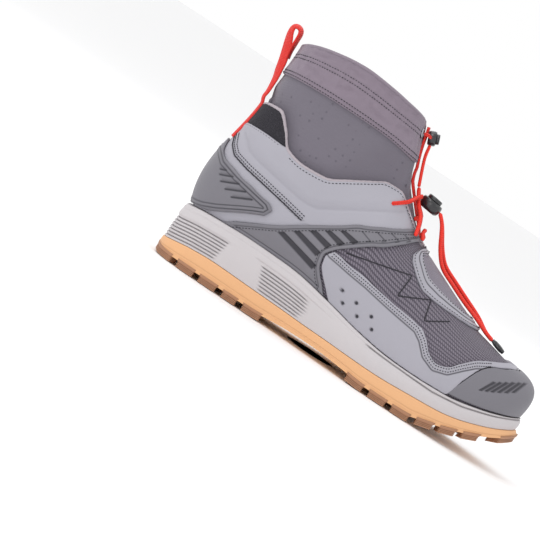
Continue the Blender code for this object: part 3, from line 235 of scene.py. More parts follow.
def ring(k, side, out):
    """The feather line moved outward by out."""
    return feather(k, side) + outward(k, side) * np.asarray(out, float)[..., None]


def crest_slope(x):
    """How steeply the instep's crest falls toward the toe."""
    return np.interp(x, [171, 213, 240, 262], [-0.42, -0.42, -0.30, -0.08])


def upper_controls(k, side):
    """Four points of each row's profile: feather line, its handle, the top line's handle, top line."""
    t = through(K_FEATHER, UPPER, k)
    p0 = feather(k, side)
    n = outward(k, side)
    p3 = np.stack([t[..., 0], side * t[..., 1], t[..., 2]], -1)
    phi = np.radians(t[..., 3])
    rear = n * np.cos(phi)[..., None] + np.array([0, 0, -1.0]) * np.sin(phi)[..., None]
    # along the crest the handle lies in the crest's own slope
    slope = crest_slope(t[..., 0])
    level = (p0 - p3) * np.array([1, 1, 0.0])
    level /= np.maximum(np.linalg.norm(level, axis=-1, keepdims=True), 1e-6)
    crest = level.copy()
    crest[..., 2] = level[..., 0] * slope
    w = ease((np.asarray(k, float) - 12.0) / 2.0)[..., None]
    d = rear * (1 - w) + crest * w
    d = unit(d)
    p1 = p0 + np.array([0, 0, 1.0]) * t[..., 5, None] + n * t[..., 6, None]
    p2 = p3 + d * t[..., 4, None]
    return p0, p1, p2, p3


def bezier(c, h):
    """The cubic curve through the first and last of four points, drawn toward the other two."""
    h = np.asarray(h, float)[..., None]
    return c[0] * (1 - h) ** 3 + 3 * c[1] * h * (1 - h) ** 2 + 3 * c[2] * h**2 * (1 - h) + c[3] * h**3


def upper_raw(k, side, h):
    """The upper's outer face: row k, share h up its profile."""
    return bezier(upper_controls(k, side), h)


def normal_of(raw, k, side, h):
    """Outward normal of a face, from its own steps along the row and up the profile."""
    k, h = np.broadcast_arrays(np.asarray(k, float), np.asarray(h, float))
    e = 0.01
    hk = np.clip(h, 0.004, 0.992)
    du = raw(k + e, side, hk) - raw(k - e, side, hk)
    dh = raw(k, side, hk + 0.004) - raw(k, side, hk - 0.004)
    n = np.cross(du, dh) * -side
    return n / np.maximum(np.linalg.norm(n, axis=-1, keepdims=True), 1e-9)


def upper_normal(k, side, h):
    """The upper's normal, turned to the crest's own in the middle plane."""
    k, h = np.broadcast_arrays(np.asarray(k, float), np.asarray(h, float))
    n = normal_of(upper_raw, np.clip(k, NEARLY, LAST_ROW - NEARLY), side, h)
    slope = crest_slope(through(K_FEATHER, UPPER, k)[..., 0])
    top = np.stack([-slope, 0 * slope, 1 + 0 * slope], -1)
    top = unit(top)
    w = np.maximum(
        ease((k - 18.0) / 1.5) * ease((h - 0.86) / 0.1), ((h > AT_TOP) & (k >= UPPER_CREST)) * 1.0
    )[..., None]
    n = n * (1 - w) + top * w
    return unit(n)


def upper_face(k, side, h):
    """Points of the upper's outer face and its normals."""
    return upper_raw(k, side, h), upper_normal(k, side, h)


def upper_at(k, side, h, off=0.0):
    """A point of the upper's outer face, moved outward by off."""
    p, n = upper_face(k, side, h)
    return p + n * np.asarray(off, float)[..., None]


def nearest(points, cloud, chunk=1500):
    """For each point, the index of the cloud's nearest point: the least of |c|^2 - 2 p.c, in chunks."""
    c = cloud.astype(np.float32)
    middle = c.mean(0)
    c = c - middle
    p = points.reshape(-1, points.shape[-1]).astype(np.float32) - middle
    length = (c * c).sum(1)
    return np.concatenate(
        [(length - 2 * p[i : i + chunk] @ c.T).argmin(1) for i in range(0, len(p), chunk)]
    )


_under = {}  # the upper's net moved in, worked out once for each gap


def tuck(points, gap):
    """Points that would come through the upper go back to gap inside it; free above its top line."""
    if gap not in _under:
        ks, hs = np.meshgrid(np.linspace(0, LAST_ROW, 161), np.linspace(0, 1, 41), indexing="ij")
        q = np.concatenate([upper_at(ks, s, hs, -gap).reshape(-1, 3) for s in (LATERAL, MEDIAL)])
        n = np.concatenate([upper_normal(ks, s, hs).reshape(-1, 3) for s in (LATERAL, MEDIAL)])
        _under[gap] = (q, n)
    q, n = _under[gap]
    flat = points.reshape(-1, 3).copy()
    near = nearest(flat, q)
    rel = flat - q[near]
    out = (rel * n[near]).sum(-1)
    along = np.linalg.norm(rel - out[:, None] * n[near], axis=-1)
    over = out - 0.35 * np.maximum(along - 3.0, 0)
    push = 0.35 * np.logaddexp(0, over / 0.35)
    push *= 1 - ease((along - 9.0) / 22.0)
    flat -= n[near] * np.where(over > -2, push, 0)[:, None]
    return flat.reshape(points.shape)


def bootie_raw(k, side, h):
    """The bootie's outer face: its own profile at the shaft, the upper's face moved in from the throat on."""
    k = np.asarray(k, float)
    t = through(np.arange(BOOTIE_ROWS), BOOTIE, np.clip(k, 0, BOOTIE_ROWS - 1))
    n = outward(k, side)
    p0 = feather(k, side) - n * 3.4 + np.array([0, 0, 0.6])
    p3 = np.stack([t[..., 0], side * t[..., 1], t[..., 2]], -1)
    p2 = p3 + np.stack([t[..., 3], side * t[..., 4], t[..., 5]], -1)
    p1 = p0 + np.array([0, 0, 1.0]) * t[..., 6, None] + n * t[..., 7, None]
    own = bezier((p0, p1, p2, p3), h)
    w = ease((k - 14.0) / 1.5)[..., None]
    inner = upper_at(k, side, h, -UNDER)
    p = own * (1 - w) + inner * w
    p = tuck(p, UNDER)
    crest = np.broadcast_to((np.asarray(h) > AT_TOP) & (k >= BOOTIE_CREST), p.shape[:-1])
    p[..., 1] = np.where(crest, 0.0, p[..., 1])
    return p


def bootie_face(k, side, h):
    """Points of the bootie's outer face and its normals."""
    k, h = np.broadcast_arrays(np.asarray(k, float), np.asarray(h, float))
    n = normal_of(bootie_raw, np.clip(k, NEARLY, LAST_ROW - NEARLY), side, h)
    crest = (h > AT_TOP) & (k >= BOOTIE_CREST)
    n[..., 1] = np.where(crest, 0.0, n[..., 1])
    n = unit(n)
    w = ease((k - 15.5) / 0.5)[..., None]
    n = n * (1 - w) + upper_normal(k, side, h) * w
    return bootie_raw(k, side, h), n


SPAN = [LATERAL, MEDIAL]

# meshes


def quads(n, m, close_u=False, close_v=False, start=0):
    """Faces of an n by m grid of vertices, numbered row by row."""
    i = np.arange(n if close_u else n - 1)[:, None]
    j = np.arange(m if close_v else m - 1)[None, :]
    i2, j2 = (i + 1) % n, (j + 1) % m
    return start + np.stack([i * m + j, i2 * m + j, i2 * m + j2, i * m + j2], -1).reshape(-1, 4)


def piece(name, points, faces, finish, nodes=(), uv=None, mark=None, weld=2e-6, metres=False):
    """A closed mesh riding on the boot.

    points are table millimetres, uv is in metres along the surface, mark is a 0 to 1 value for the finish.
    """
    v = np.asarray(points, float).reshape(-1, 3)
    v = v if metres else place(v)
    f = [np.asarray(q) for q in (faces if isinstance(faces, list) else [faces])]
    me = bpy.data.meshes.new(name)
    me.from_pydata(v.tolist(), [], [q for part in f for q in part.tolist()])
    corner = np.zeros(len(me.loops), np.int32)
    me.loops.foreach_get("vertex_index", corner)
    if uv is not None:
        at_corners = np.asarray(uv, np.float32).reshape(-1, 2)[corner]
        me.uv_layers.new(name="along").data.foreach_set("uv", at_corners.ravel())
    values = np.zeros(len(v), np.float32) if mark is None else np.asarray(mark, np.float32).ravel()
    me.attributes.new("mark", "FLOAT", "POINT").data.foreach_set("value", values)
    bm = bmesh.new()
    bm.from_mesh(me)
    if weld:
        bmesh.ops.remove_doubles(bm, verts=bm.verts, dist=weld)
        bmesh.ops.dissolve_degenerate(bm, edges=bm.edges, dist=weld)
    bmesh.ops.recalc_face_normals(bm, faces=bm.faces)
    if bm.calc_volume(signed=True) < 0:
        bmesh.ops.reverse_faces(bm, faces=bm.faces)
    for face in bm.faces:
        face.smooth = True
    bm.to_mesh(me)
    bm.free()
    o = bpy.data.objects.new(name, me)
    bpy.context.collection.objects.link(o)
    me.materials.append(finish)
    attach(o, "root")
    if nodes:
        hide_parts(*nodes)
    return o


def runs(p):
    """Lengths along both directions of a grid of points, in metres, from its middle row and column."""
    n, m = p.shape[:2]
    u, v = run_along(p[:, m // 2]), run_along(p[n // 2])
    return np.stack(np.meshgrid(u, v, indexing="ij"), -1) * MM


def two_skins(outer, inner, close_u=False):
    """Points and faces of a body between two grids, closed by strips along their borders."""
    n, m = outer.shape[:2]
    total = n * m
    faces = [quads(n, m, close_u), quads(n, m, close_u, start=total)[:, ::-1]]
    index = np.arange(total).reshape(n, m)
    edges = [index[:, 0], index[:, -1][::-1]] + ([] if close_u else [index[0][::-1], index[-1]])
    for e in edges:
        e2 = np.concatenate([e[1:], e[:1]]) if close_u else e[1:]
        e1 = e if close_u else e[:-1]
        faces.append(np.stack([e1, e1 + total, e2 + total, e2], -1))
    return np.concatenate([outer.reshape(-1, 3), inner.reshape(-1, 3)]), faces


def twice(uv):
    """The map of one skin, for both."""
    return np.concatenate([uv.reshape(-1, 2)] * 2)


def steps(n, tight=0.012):
    """n shares from 0 to 1, with a few close together at both ends for a rounded edge."""
    ends = tight * np.array([0, 0.12, 0.35, 0.7])
    return np.concatenate([ends, np.linspace(tight, 1 - tight, n - 8), 1 - ends[::-1]])


def border_distance(p, close=(False, False, False, False)):
    """Distance of each grid point from the grid's border; close leaves out the sides that join something."""
    sides = [p[0], p[-1], p[:, 0], p[:, -1]]
    line = np.concatenate([dense(s, 0.8) for s, shut in zip(sides, close) if not shut])
    i = nearest(p, line)
    return np.linalg.norm(p.reshape(-1, 3) - line[i], axis=-1).reshape(p.shape[:2])


def dense(line, pitch):
    """The same line with a point every pitch, (n, 3)."""
    q = np.asarray(line, float)
    run = run_along(q)
    at = np.linspace(0, run[-1], max(2, int(run[-1] / pitch) + 1))
    return np.stack([np.interp(at, run, q[:, i]) for i in range(q.shape[1])], -1)


def rounded(d, r):
    """Height share of an edge rounded with radius r: a quarter circle from the border inward."""
    return np.sqrt(np.clip(1 - (1 - np.clip(d / r, 0, 1)) ** 2, 0, 1))


# lines drawn in the side view


def off_line(xz, line):
    """Distance of points from a broken line: the least of those from its pieces."""
    q = np.asarray(line, float)
    best = np.full(xz.shape[:-1], 1e9)
    for a, b in zip(q[:-1], q[1:]):
        ab = b - a
        length = np.linalg.norm(ab)
        t = np.clip(((xz - a) @ ab) / length**2, 0, 1)
        best = np.minimum(best, np.linalg.norm(xz - a - t[..., None] * ab, axis=-1))
    return best


def within(xz, corners):
    """Distance inside a closed outline, negative outside it."""
    q = np.asarray(corners, float)
    d = off_line(xz, np.concatenate([q, q[:1]]))
    inside = np.zeros(xz.shape[:-1], bool)
    for a, b in zip(q, np.roll(q, -1, axis=0)):
        crosses = (a[1] > xz[..., 1]) != (b[1] > xz[..., 1])
        x = a[0] + (xz[..., 1] - a[1]) * (b[0] - a[0]) / (b[1] - a[1] if abs(b[1] - a[1]) > 1e-9 else 1e-9)
        inside ^= crosses & (xz[..., 0] < x)
    return np.where(inside, d, -d)


def groove(d, width):
    """1 on a line, falling to 0 at half the width away, as a smooth dip."""
    return 1 - ease(d / (width / 2))


_side_view = {}  # the upper's net in the side view, worked out once for each side


def locate(xz, side):
    """Row and share up the upper for side-view points: the nearest of a fine net, then Newton steps."""
    if side not in _side_view:
        ks, hs = np.meshgrid(np.linspace(0, LAST_ROW, 401), np.linspace(0, 1, 161), indexing="ij")
        _side_view[side] = (upper_raw(ks, side, hs)[..., [0, 2]].reshape(-1, 2), ks.ravel(), hs.ravel())
    net, ks, hs = _side_view[side]
    q = np.asarray(xz, float).reshape(-1, 2)
    i = nearest(q, net)
    k, h = ks[i].copy(), hs[i].copy()
    for _ in range(2):
        p = upper_raw(k, side, h)[:, [0, 2]]
        e = 1e-3
        pk = (upper_raw(k + e, side, h)[:, [0, 2]] - p) / e
        ph = (upper_raw(k, side, h + e)[:, [0, 2]] - p) / e
        det = pk[:, 0] * ph[:, 1] - pk[:, 1] * ph[:, 0]
        det = np.where(np.abs(det) < 1e-3, 1e9, det)
        r = q - p
        dk = np.clip((r[:, 0] * ph[:, 1] - r[:, 1] * ph[:, 0]) / det, -0.05, 0.05)
        dh = np.clip((pk[:, 0] * r[:, 1] - pk[:, 1] * r[:, 0]) / det, -0.006, 0.006)
        k, h = np.clip(k + dk, 0, LAST_ROW), np.clip(h + dh, 0, 1)
    return np.stack([k, h], -1).reshape(np.shape(xz))


def curve_on(points, count, side=LATERAL):
    """A side-view curve as rows and shares of the upper, (count, 2)."""
    kh = locate(np.array(points, float), side)
    q = np.array(points, float)
    run = run_along(q)
    return through(run, kh, np.linspace(0, run[-1], count))


def both_sides(kh):
    """Points and normals of a grid of (row, share) carried round the toe or the heel to the other side.

    The grid's last row is the middle.
    """
    out = [upper_face(kh[..., 0], side, kh[..., 1]) for side in SPAN]
    mid_p = (out[0][0][-1:] + out[1][0][-1:]) / 2
    mid_n = out[0][1][-1:] + out[1][1][-1:]
    mid_n = unit(mid_n)
    p = np.concatenate([out[0][0][:-1], mid_p, out[1][0][:-1][::-1]])
    n = np.concatenate([out[0][1][:-1], mid_n, out[1][1][:-1][::-1]])
    return p, n


def panel(name, p, n, low, height, finish, nodes=(), mark=None):
    """A closed plate lying on a surface: its face is the surface moved out by height, its back by low."""
    outer, inner = p + n * height[..., None], p + n * low
    points, faces = two_skins(outer, inner)
    mark = np.zeros(p.shape[:2]) if mark is None else mark
    both = np.concatenate([mark.ravel(), np.zeros(mark.size)])
    return piece(name, points, faces, finish, nodes, twice(runs(p)), both, weld=1e-6)


# round things


def frames(q, up):
    """Two cross directions along a line of points, leaning on a fixed direction."""
    t = np.gradient(q, axis=0)
    t = unit(t)
    a = np.cross(t, np.broadcast_to(np.array(up, float), t.shape))
    a = unit(a)
    return a, np.cross(t, a)


def smooth_line(points, spacing):
    """Points every spacing along a smooth curve through the given ones."""
    q = np.array(points, float)
    run = run_along(q)
    fine = through(run, q, np.linspace(0, run[-1], max(8, int(run[-1] / spacing))))
    for _ in range(3):
        fine[1:-1] = (fine[:-2] + 2 * fine[1:-1] + fine[2:]) / 4
    return fine


def rope(name, line, radius, up, finish, nodes=(), sides=12):
    """A round cord: circles of the radius across the line, drawn in to a dome at both ends."""
    a, b = frames(line, up)
    run = run_along(line)
    d = np.minimum(run, run[-1] - run)
    r = radius * rounded(d, radius * 0.8)
    g = turn(sides)
    grid = (
        line[:, None]
        + r[:, None, None] * (np.cos(g)[None, :, None] * a[:, None] + np.sin(g)[None, :, None] * b[:, None])
    )
    uv = np.stack(np.meshgrid(run * MM, np.linspace(0, 1, sides, endpoint=False), indexing="ij"), -1)
    n = len(line)
    caps = [np.arange(sides)[::-1][None], ((n - 1) * sides + np.arange(sides))[None]]
    return piece(name, grid, [quads(n, sides, False, True)] + caps, finish, nodes, uv, weld=0)


def turned(name, centre, axis, profile, finish, nodes=(), sides=56):
    """A turned body: the profile's (along, radius) rows carried round the axis."""
    c = place(np.array(centre, float))
    a = np.array(axis, float) / np.linalg.norm(axis)
    u = np.cross(a, [0, 1.0, 0])
    u /= np.linalg.norm(u)
    w = np.cross(a, u)
    t, r = np.array(profile, float).T * MM
    g = turn(sides)
    grid = (
        c
        + t[:, None, None] * a
        + r[:, None, None] * (np.cos(g)[None, :, None] * u + np.sin(g)[None, :, None] * w)
    )
    n = len(t)
    closed = abs(t[0] - t[-1]) < 1e-9 and abs(r[0] - r[-1]) < 1e-9
    flat_ends = (
        [] if closed or r[0] < 1e-9 else [
            np.arange(sides)[::-1][None], ((n - 1) * sides + np.arange(sides))[None]
        ]
    )
    faces = [quads(n, sides, False, True)] + flat_ends
    return piece(name, grid, faces, finish, nodes, weld=1e-6, metres=True)


def stitches(name, lines, finish, pitch=3.2, length=2.1, radius=0.28):
    """Short raised threads along lines of (points, normals): each a six-sided bar, bent down at both ends."""
    across = 6
    share = np.array([0.0, 0.22, 0.78, 1.0])
    drop = np.array([-0.5, 0.12, 0.12, -0.5])
    grids = []
    for q, nrm in lines:
        run = run_along(q)
        count = int(run[-1] / pitch)
        if count < 1:
            continue
        at = (np.arange(count)[:, None] + 0.5) * run[-1] / count + (share - 0.5) * length
        p = np.stack([np.interp(at, run, q[:, i]) for i in range(3)], -1)
        m = np.stack([np.interp(at, run, nrm[:, i]) for i in range(3)], -1)
        m = unit(m)
        t = p[:, -1:] - p[:, :1]
        t = np.broadcast_to(t / np.linalg.norm(t, axis=-1, keepdims=True), p.shape)
        side = np.cross(t, m)
        p = p + m * drop[None, :, None]
        g = turn(across)
        grids.append(
            p[:, :, None]
            + radius * (
                np.cos(g)[None, None, :, None] * side[:, :, None]
                + 0.8 * np.sin(g)[None, None, :, None] * m[:, :, None]
            )
        )
    grid = np.concatenate(grids)
    count = len(grid)
    one = quads(4, across, False, True)
    start = (np.arange(count) * 4 * across)[:, None, None]
    ring_ = np.arange(across)
    faces = [
        (one[None] + start).reshape(-1, 4),
        (ring_[::-1][None, None] + start).reshape(-1, across),
        (ring_[None, None] + 3 * across + start).reshape(-1, across),
    ]
    return piece(name, grid, faces, finish, weld=0)


def on_upper_line(points, side, height):
    """A side-view line laid on the upper at a height over it: (points, normals)."""
    kh = locate(dense(points, 1.2), side)
    p, n = upper_face(kh[:, 0], side, kh[:, 1])
    return p + n * height, n


def shifted(points, by):
    """A side-view line moved sideways by a distance, to its left."""
    q = dense(points, 1.5)
    t = np.gradient(q, axis=0)
    t = unit(t)
    return q + by * np.stack([-t[:, 1], t[:, 0]], -1)


# the finishes


def linear(r, g, b):
    """A screen colour from 0 to 255 as the linear colour that a shader takes."""
    c = np.array([r, g, b]) / 255
    return tuple(np.where(c <= 0.04045, c / 12.92, ((c + 0.055) / 1.055) ** 2.4))


def node(tree, kind, links=None, **settings):
    """A shader node with its settings made and its inputs set or linked.

    links maps an input's name or number to a value or a socket.
    """
    n = tree.nodes.new(kind)
    for key, value in settings.items():
        setattr(n, key, value)
    for key, value in (links or {}).items():
        if isinstance(value, bpy.types.NodeSocket):
            tree.links.new(value, n.inputs[key])
        else:
            n.inputs[key].default_value = value
    return n


def calc(tree, what, a, b=0.0, c=0.0):
    """One math node; a, b and c are numbers or sockets."""
    return node(tree, "ShaderNodeMath", {0: a, 1: b, 2: c}, operation=what).outputs[0]


def new_group(name, inputs, outputs):
    """A shader node group with named float, colour or vector sockets, and its two end nodes."""
    g = bpy.data.node_groups.new(name, "ShaderNodeTree")
    kinds = {"F": "NodeSocketFloat", "C": "NodeSocketColor", "V": "NodeSocketVector"}
    for label, kind, value in inputs:
        s = g.interface.new_socket(label, in_out="INPUT", socket_type=kinds[kind])
        if value is not None:
            s.default_value = value
    for label, kind in outputs:
        g.interface.new_socket(label, in_out="OUTPUT", socket_type=kinds[kind])
    return g, g.nodes.new("NodeGroupInput"), g.nodes.new("NodeGroupOutput")


WAVE = 6.2832  # one whole wave, in radians


def make_grain():
    """Fine grain: small cells and finer noise over the piece's own place; Scale is cells per metre."""
    g, i, o = new_group(
        "fine grain",
        [("Scale", "F", 900.0), ("Roughness of noise", "F", 0.6)],
        [("Height", "F"), ("Mask", "F")],
    )
    where = node(g, "ShaderNodeTexCoord").outputs["Object"]
    cells = node(
        g,
        "ShaderNodeTexVoronoi",
        {"Vector": where, "Scale": i.outputs["Scale"], "Randomness": 1.0},
        feature="DISTANCE_TO_EDGE",
    )
    fine = node(
        g,
        "ShaderNodeTexNoise",
        {
            "Vector": where,
            "Scale": calc(g, "MULTIPLY", i.outputs["Scale"], 1.7),
            "Detail": 2.0,
            "Roughness": i.outputs["Roughness of noise"],
        },
    )
    edge = calc(g, "SMOOTH_MIN", cells.outputs["Distance"], 0.25, 0.1)
    g.links.new(
        calc(g, "ADD", calc(g, "MULTIPLY", edge, 2.0), calc(g, "MULTIPLY", fine.outputs["Fac"], 0.6)),
        o.inputs["Height"],
    )
    g.links.new(fine.outputs["Fac"], o.inputs["Mask"])
    return g


def make_shade():
    """Slow change of tone over a piece, for unevenness and handling: 0 to 1, mostly near the middle."""
    g, i, o = new_group("uneven tone", [("Scale", "F", 28.0)], [("Tone", "F")])
    where = node(g, "ShaderNodeTexCoord").outputs["Object"]
    big = node(
        g,
        "ShaderNodeTexNoise",
        {"Vector": where, "Scale": i.outputs["Scale"], "Detail": 3.0, "Roughness": 0.55},
    )
    g.links.new(big.outputs["Fac"], o.inputs["Tone"])
    return g


def make_knit():
    """Knitted mesh: rows of slanting light threads over dark gaps, by the piece's own map in metres."""
    g, i, o = new_group(
        "open knit",
        [("Pitch", "F", 0.0019), ("Row", "F", 0.0012), ("Slant", "F", 0.5)],
        [("Height", "F"), ("Thread", "F")],
    )
    uv = node(g, "ShaderNodeSeparateXYZ", {0: node(g, "ShaderNodeUVMap", uv_map="along").outputs[0]})
    wobble = node(
        g,
        "ShaderNodeTexNoise",
        {"Vector": node(g, "ShaderNodeTexCoord").outputs["Object"], "Scale": 120.0, "Detail": 1.0},
    )
    shift = calc(g, "MULTIPLY", calc(g, "SUBTRACT", wobble.outputs["Fac"], 0.5), 0.3)
    row = calc(g, "ADD", calc(g, "DIVIDE", uv.outputs["Y"], i.outputs["Row"]), shift)
    line = calc(g, "FLOOR", row)
    across = calc(g, "SUBTRACT", calc(g, "FRACT", row), 0.5)
    place_u = calc(
        g, "ADD", calc(g, "DIVIDE", uv.outputs["X"], i.outputs["Pitch"]), calc(g, "MULTIPLY", line, 0.5)
    )
    along = calc(
        g,
        "SUBTRACT",
        calc(g, "FRACT", calc(g, "ADD", place_u, calc(g, "MULTIPLY", across, i.outputs["Slant"]))),
        0.5,
    )
    d = calc(
        g,
        "ADD",
        calc(g, "POWER", calc(g, "ABSOLUTE", calc(g, "MULTIPLY", along, 2.15)), 2.0),
        calc(g, "POWER", calc(g, "ABSOLUTE", calc(g, "MULTIPLY", across, 2.6)), 3.0),
    )
    thread = node(
        g,
        "ShaderNodeMapRange",
        {"Value": d, "From Min": 1.1, "From Max": 0.25, "To Min": 0.0, "To Max": 1.0},
        interpolation_type="SMOOTHSTEP",
    )
    g.links.new(thread.outputs[0], o.inputs["Thread"])
    g.links.new(thread.outputs[0], o.inputs["Height"])
    return g


def make_cloth():
    """Close stretch cloth: a fine twill over the surface, with small soft pits some way apart."""
    g, i, o = new_group(
        "stretch cloth", [("Thread", "F", 0.0009), ("Pits", "F", 150.0)], [("Height", "F"), ("Pit", "F")]
    )
    uv = node(g, "ShaderNodeSeparateXYZ", {0: node(g, "ShaderNodeUVMap", uv_map="along").outputs[0]})
    u = calc(g, "MULTIPLY", calc(g, "DIVIDE", uv.outputs["X"], i.outputs["Thread"]), WAVE)
    v = calc(g, "MULTIPLY", calc(g, "DIVIDE", uv.outputs["Y"], i.outputs["Thread"]), WAVE)
    twill = calc(g, "SINE", calc(g, "ADD", u, v))
    weft = calc(g, "SINE", calc(g, "SUBTRACT", u, calc(g, "MULTIPLY", v, 0.5)))
    where = node(g, "ShaderNodeTexCoord").outputs["Object"]
    spots = node(
        g,
        "ShaderNodeTexVoronoi",
        {"Vector": where, "Scale": i.outputs["Pits"], "Randomness": 0.35},
        feature="F1",
    )
    pit = node(
        g,
        "ShaderNodeMapRange",
        {
            "Value": spots.outputs["Distance"],
            "From Min": 0.06,
            "From Max": 0.2,
            "To Min": 1.0,
            "To Max": 0.0,
        },
        interpolation_type="SMOOTHSTEP",
    )
    soft = node(g, "ShaderNodeTexNoise", {"Vector": where, "Scale": 700.0, "Detail": 2.0})
    h = calc(
        g,
        "ADD",
        calc(g, "MULTIPLY", calc(g, "ADD", twill, weft), 0.16),
        calc(g, "MULTIPLY", soft.outputs["Fac"], 0.5),
    )
    g.links.new(calc(g, "SUBTRACT", h, calc(g, "MULTIPLY", pit.outputs[0], 0.6)), o.inputs["Height"])
    g.links.new(pit.outputs[0], o.inputs["Pit"])
    return g


def make_ribbed():
    """Woven ribs across a strap or round a cord: a wave along it, broken by a finer one across."""
    g, i, o = new_group(
        "ribbed weave",
        [("Rib", "F", 0.0013), ("Across", "F", 0.001), ("Slant", "F", 0.0)],
        [("Height", "F"), ("Rise", "F")],
    )
    uv = node(g, "ShaderNodeSeparateXYZ", {0: node(g, "ShaderNodeUVMap", uv_map="along").outputs[0]})
    v = calc(g, "DIVIDE", uv.outputs["Y"], i.outputs["Across"])
    u = calc(
        g,
        "ADD",
        calc(g, "DIVIDE", uv.outputs["X"], i.outputs["Rib"]),
        calc(g, "MULTIPLY", v, i.outputs["Slant"]),
    )
    wave = calc(g, "SINE", calc(g, "MULTIPLY", u, WAVE))
    cross = calc(
        g,
        "SINE",
        calc(g, "MULTIPLY", calc(g, "SUBTRACT", v, calc(g, "MULTIPLY", u, i.outputs["Slant"])), WAVE),
    )
    rise = calc(
        g, "ADD", calc(g, "MULTIPLY", wave, 0.35), calc(g, "ADD", calc(g, "MULTIPLY", cross, 0.15), 0.5)
    )
    g.links.new(rise, o.inputs["Height"])
    g.links.new(rise, o.inputs["Rise"])
    return g


GRAIN, SHADE, KNIT, CLOTH, RIBBED = make_grain(), make_shade(), make_knit(), make_cloth(), make_ribbed()


def finish(
    name,
    colour,
    dark,
    rough,
    group=None,
    values=None,
    depth=0.0002,
    contrast=0.0,
    mask=None,
    tone=0.12,
    rough_range=0.08,
    coat=0.0,
    sheen=0.0,
    metal=0.0,
    marked=None,
):
    """A material: colour toward dark by the surface's own mask and by the piece's mark, in an uneven tone.

    Its bump is the group's height. A negative contrast takes the mask as it is, a positive one turned.
    """
    m = bpy.data.materials.new(name)
    m.use_nodes = True
    t = m.node_tree
    b = t.nodes["Principled BSDF"]
    b.inputs["Metallic"].default_value = metal
    b.inputs["Coat Weight"].default_value = coat
    b.inputs["Coat Roughness"].default_value = 0.25
    b.inputs["Sheen Weight"].default_value = sheen
    b.inputs["Sheen Roughness"].default_value = 0.45
    m.diffuse_color = (*colour, 1)
    shade = node(t, "ShaderNodeGroup", node_tree=SHADE)
    base = node(t, "ShaderNodeMix", {0: shade.outputs["Tone"]}, data_type="RGBA")
    colour_out = [s for s in base.outputs if s.type == "RGBA"][0]
    lower, higher = (*[c * (1 - tone) for c in colour], 1), (*[min(1, c * (1 + tone)) for c in colour], 1)
    for key, value in (("A", lower), ("B", higher)):
        [s for s in base.inputs if s.name == key and s.type == "RGBA"][0].default_value = value

    def mixed(a, to, share):
        """A colour carried toward another by a share."""
        n = node(t, "ShaderNodeMix", {0: share}, data_type="RGBA")
        ins = [s for s in n.inputs if s.type == "RGBA"]
        t.links.new(a, ins[0])
        ins[1].default_value = (*to, 1)
        return [s for s in n.outputs if s.type == "RGBA"][0]

    if group:
        surface = node(t, "ShaderNodeGroup", values or {}, node_tree=group)
        if mask:
            own_mask = surface.outputs[mask]
            share = calc(t, "SUBTRACT", 1.0, own_mask) if contrast > 0 else own_mask
            colour_out = mixed(colour_out, dark, calc(t, "MULTIPLY", share, abs(contrast)))
        bump = node(
            t, "ShaderNodeBump", {"Strength": 1.0, "Distance": depth, "Height": surface.outputs["Height"]}
        )
        t.links.new(bump.outputs[0], b.inputs["Normal"])
    own = node(t, "ShaderNodeAttribute", attribute_name="mark")
    colour_out = mixed(colour_out, marked or dark, own.outputs["Fac"])
    t.links.new(colour_out, b.inputs["Base Color"])
    r = node(
        t,
        "ShaderNodeMapRange",
        {
            "Value": shade.outputs["Tone"],
            "From Min": 0.2,
            "From Max": 0.8,
            "To Min": rough - rough_range,
            "To Max": rough + rough_range,
        },
    )
    t.links.new(r.outputs[0], b.inputs["Roughness"])
    return m


# marked: near black, for the seam's own dark line and for painted shade in creases, grooves and holes
PALE = finish(
    "pale synthetic",
    linear(160, 158, 167),
    linear(96, 94, 104),
    0.5,
    GRAIN,
    {"Scale": 1500.0},
    0.00008,
    0.10,
    "Mask",
    0.035,
    marked=linear(52, 50, 58),
)
PIPING = finish(
    "piping cloth", linear(196, 186, 192), linear(140, 130, 138), 0.8, CLOTH, {"Thread": 0.0006}, 0.00025,
    0.5, "Height", 0.05,
)
# marked: near black, for painted shade in the overlays' vents, slots, louvres and sunk lines
DARK = finish(
    "dark moulded overlay",
    linear(113, 111, 118),
    linear(66, 66, 74),
    0.52,
    GRAIN,
    {"Scale": 1700.0},
    0.00006,
    0.08,
    "Mask",
    0.035,
    marked=linear(46, 44, 52),
)
KNITTED = finish(
    "knitted mesh",
    linear(126, 119, 131),
    linear(58, 52, 64),
    0.85,
    KNIT,
    {},
    0.0005,
    0.78,
    "Thread",
    0.05,
    sheen=0.1,
)
SOFT = finish(
    "soft shell cloth",
    linear(108, 103, 113),
    linear(72, 68, 78),
    0.85,
    CLOTH,
    {"Thread": 0.0009, "Pits": 150.0},
    0.0002,
    -0.5,
    "Pit",
    0.05,
    sheen=0.15,
)
CUFF = finish(
    "cuff cloth",
    linear(128, 116, 128),
    linear(66, 58, 70),
    0.8,
    CLOTH,
    {"Thread": 0.0007, "Pits": 90.0},
    0.0002,
    -0.1,
    "Pit",
    0.07,
    sheen=0.15,
)
LINING = finish(
    "lining cloth", linear(84, 80, 90), linear(50, 48, 56), 0.9, CLOTH, {"Thread": 0.0012}, 0.0003, -0.3,
    "Pit", 0.05,
)
FUZZ = finish(
    "black pile", linear(58, 55, 64), linear(8, 8, 10), 0.95, GRAIN,
    {"Scale": 520.0, "Roughness of noise": 0.8}, 0.0009, 1.0, "Mask", 0.1,
)
WINDOW_MESH = finish(
    "window mesh",
    linear(128, 121, 134),
    linear(88, 82, 94),
    0.8,
    KNIT,
    {"Pitch": 0.0008, "Row": 0.0008, "Slant": 0.0},
    0.0002,
    0.35,
    "Thread",
    0.05,
    sheen=0.2,
)
# dark: for the foam's grain, and for painted shade in its rib grooves and long groove
FOAM = finish(
    "midsole foam", linear(192, 187, 189), linear(112, 107, 110), 0.62, GRAIN, {"Scale": 1200.0}, 0.00006,
    0.08, "Mask", 0.03,
)
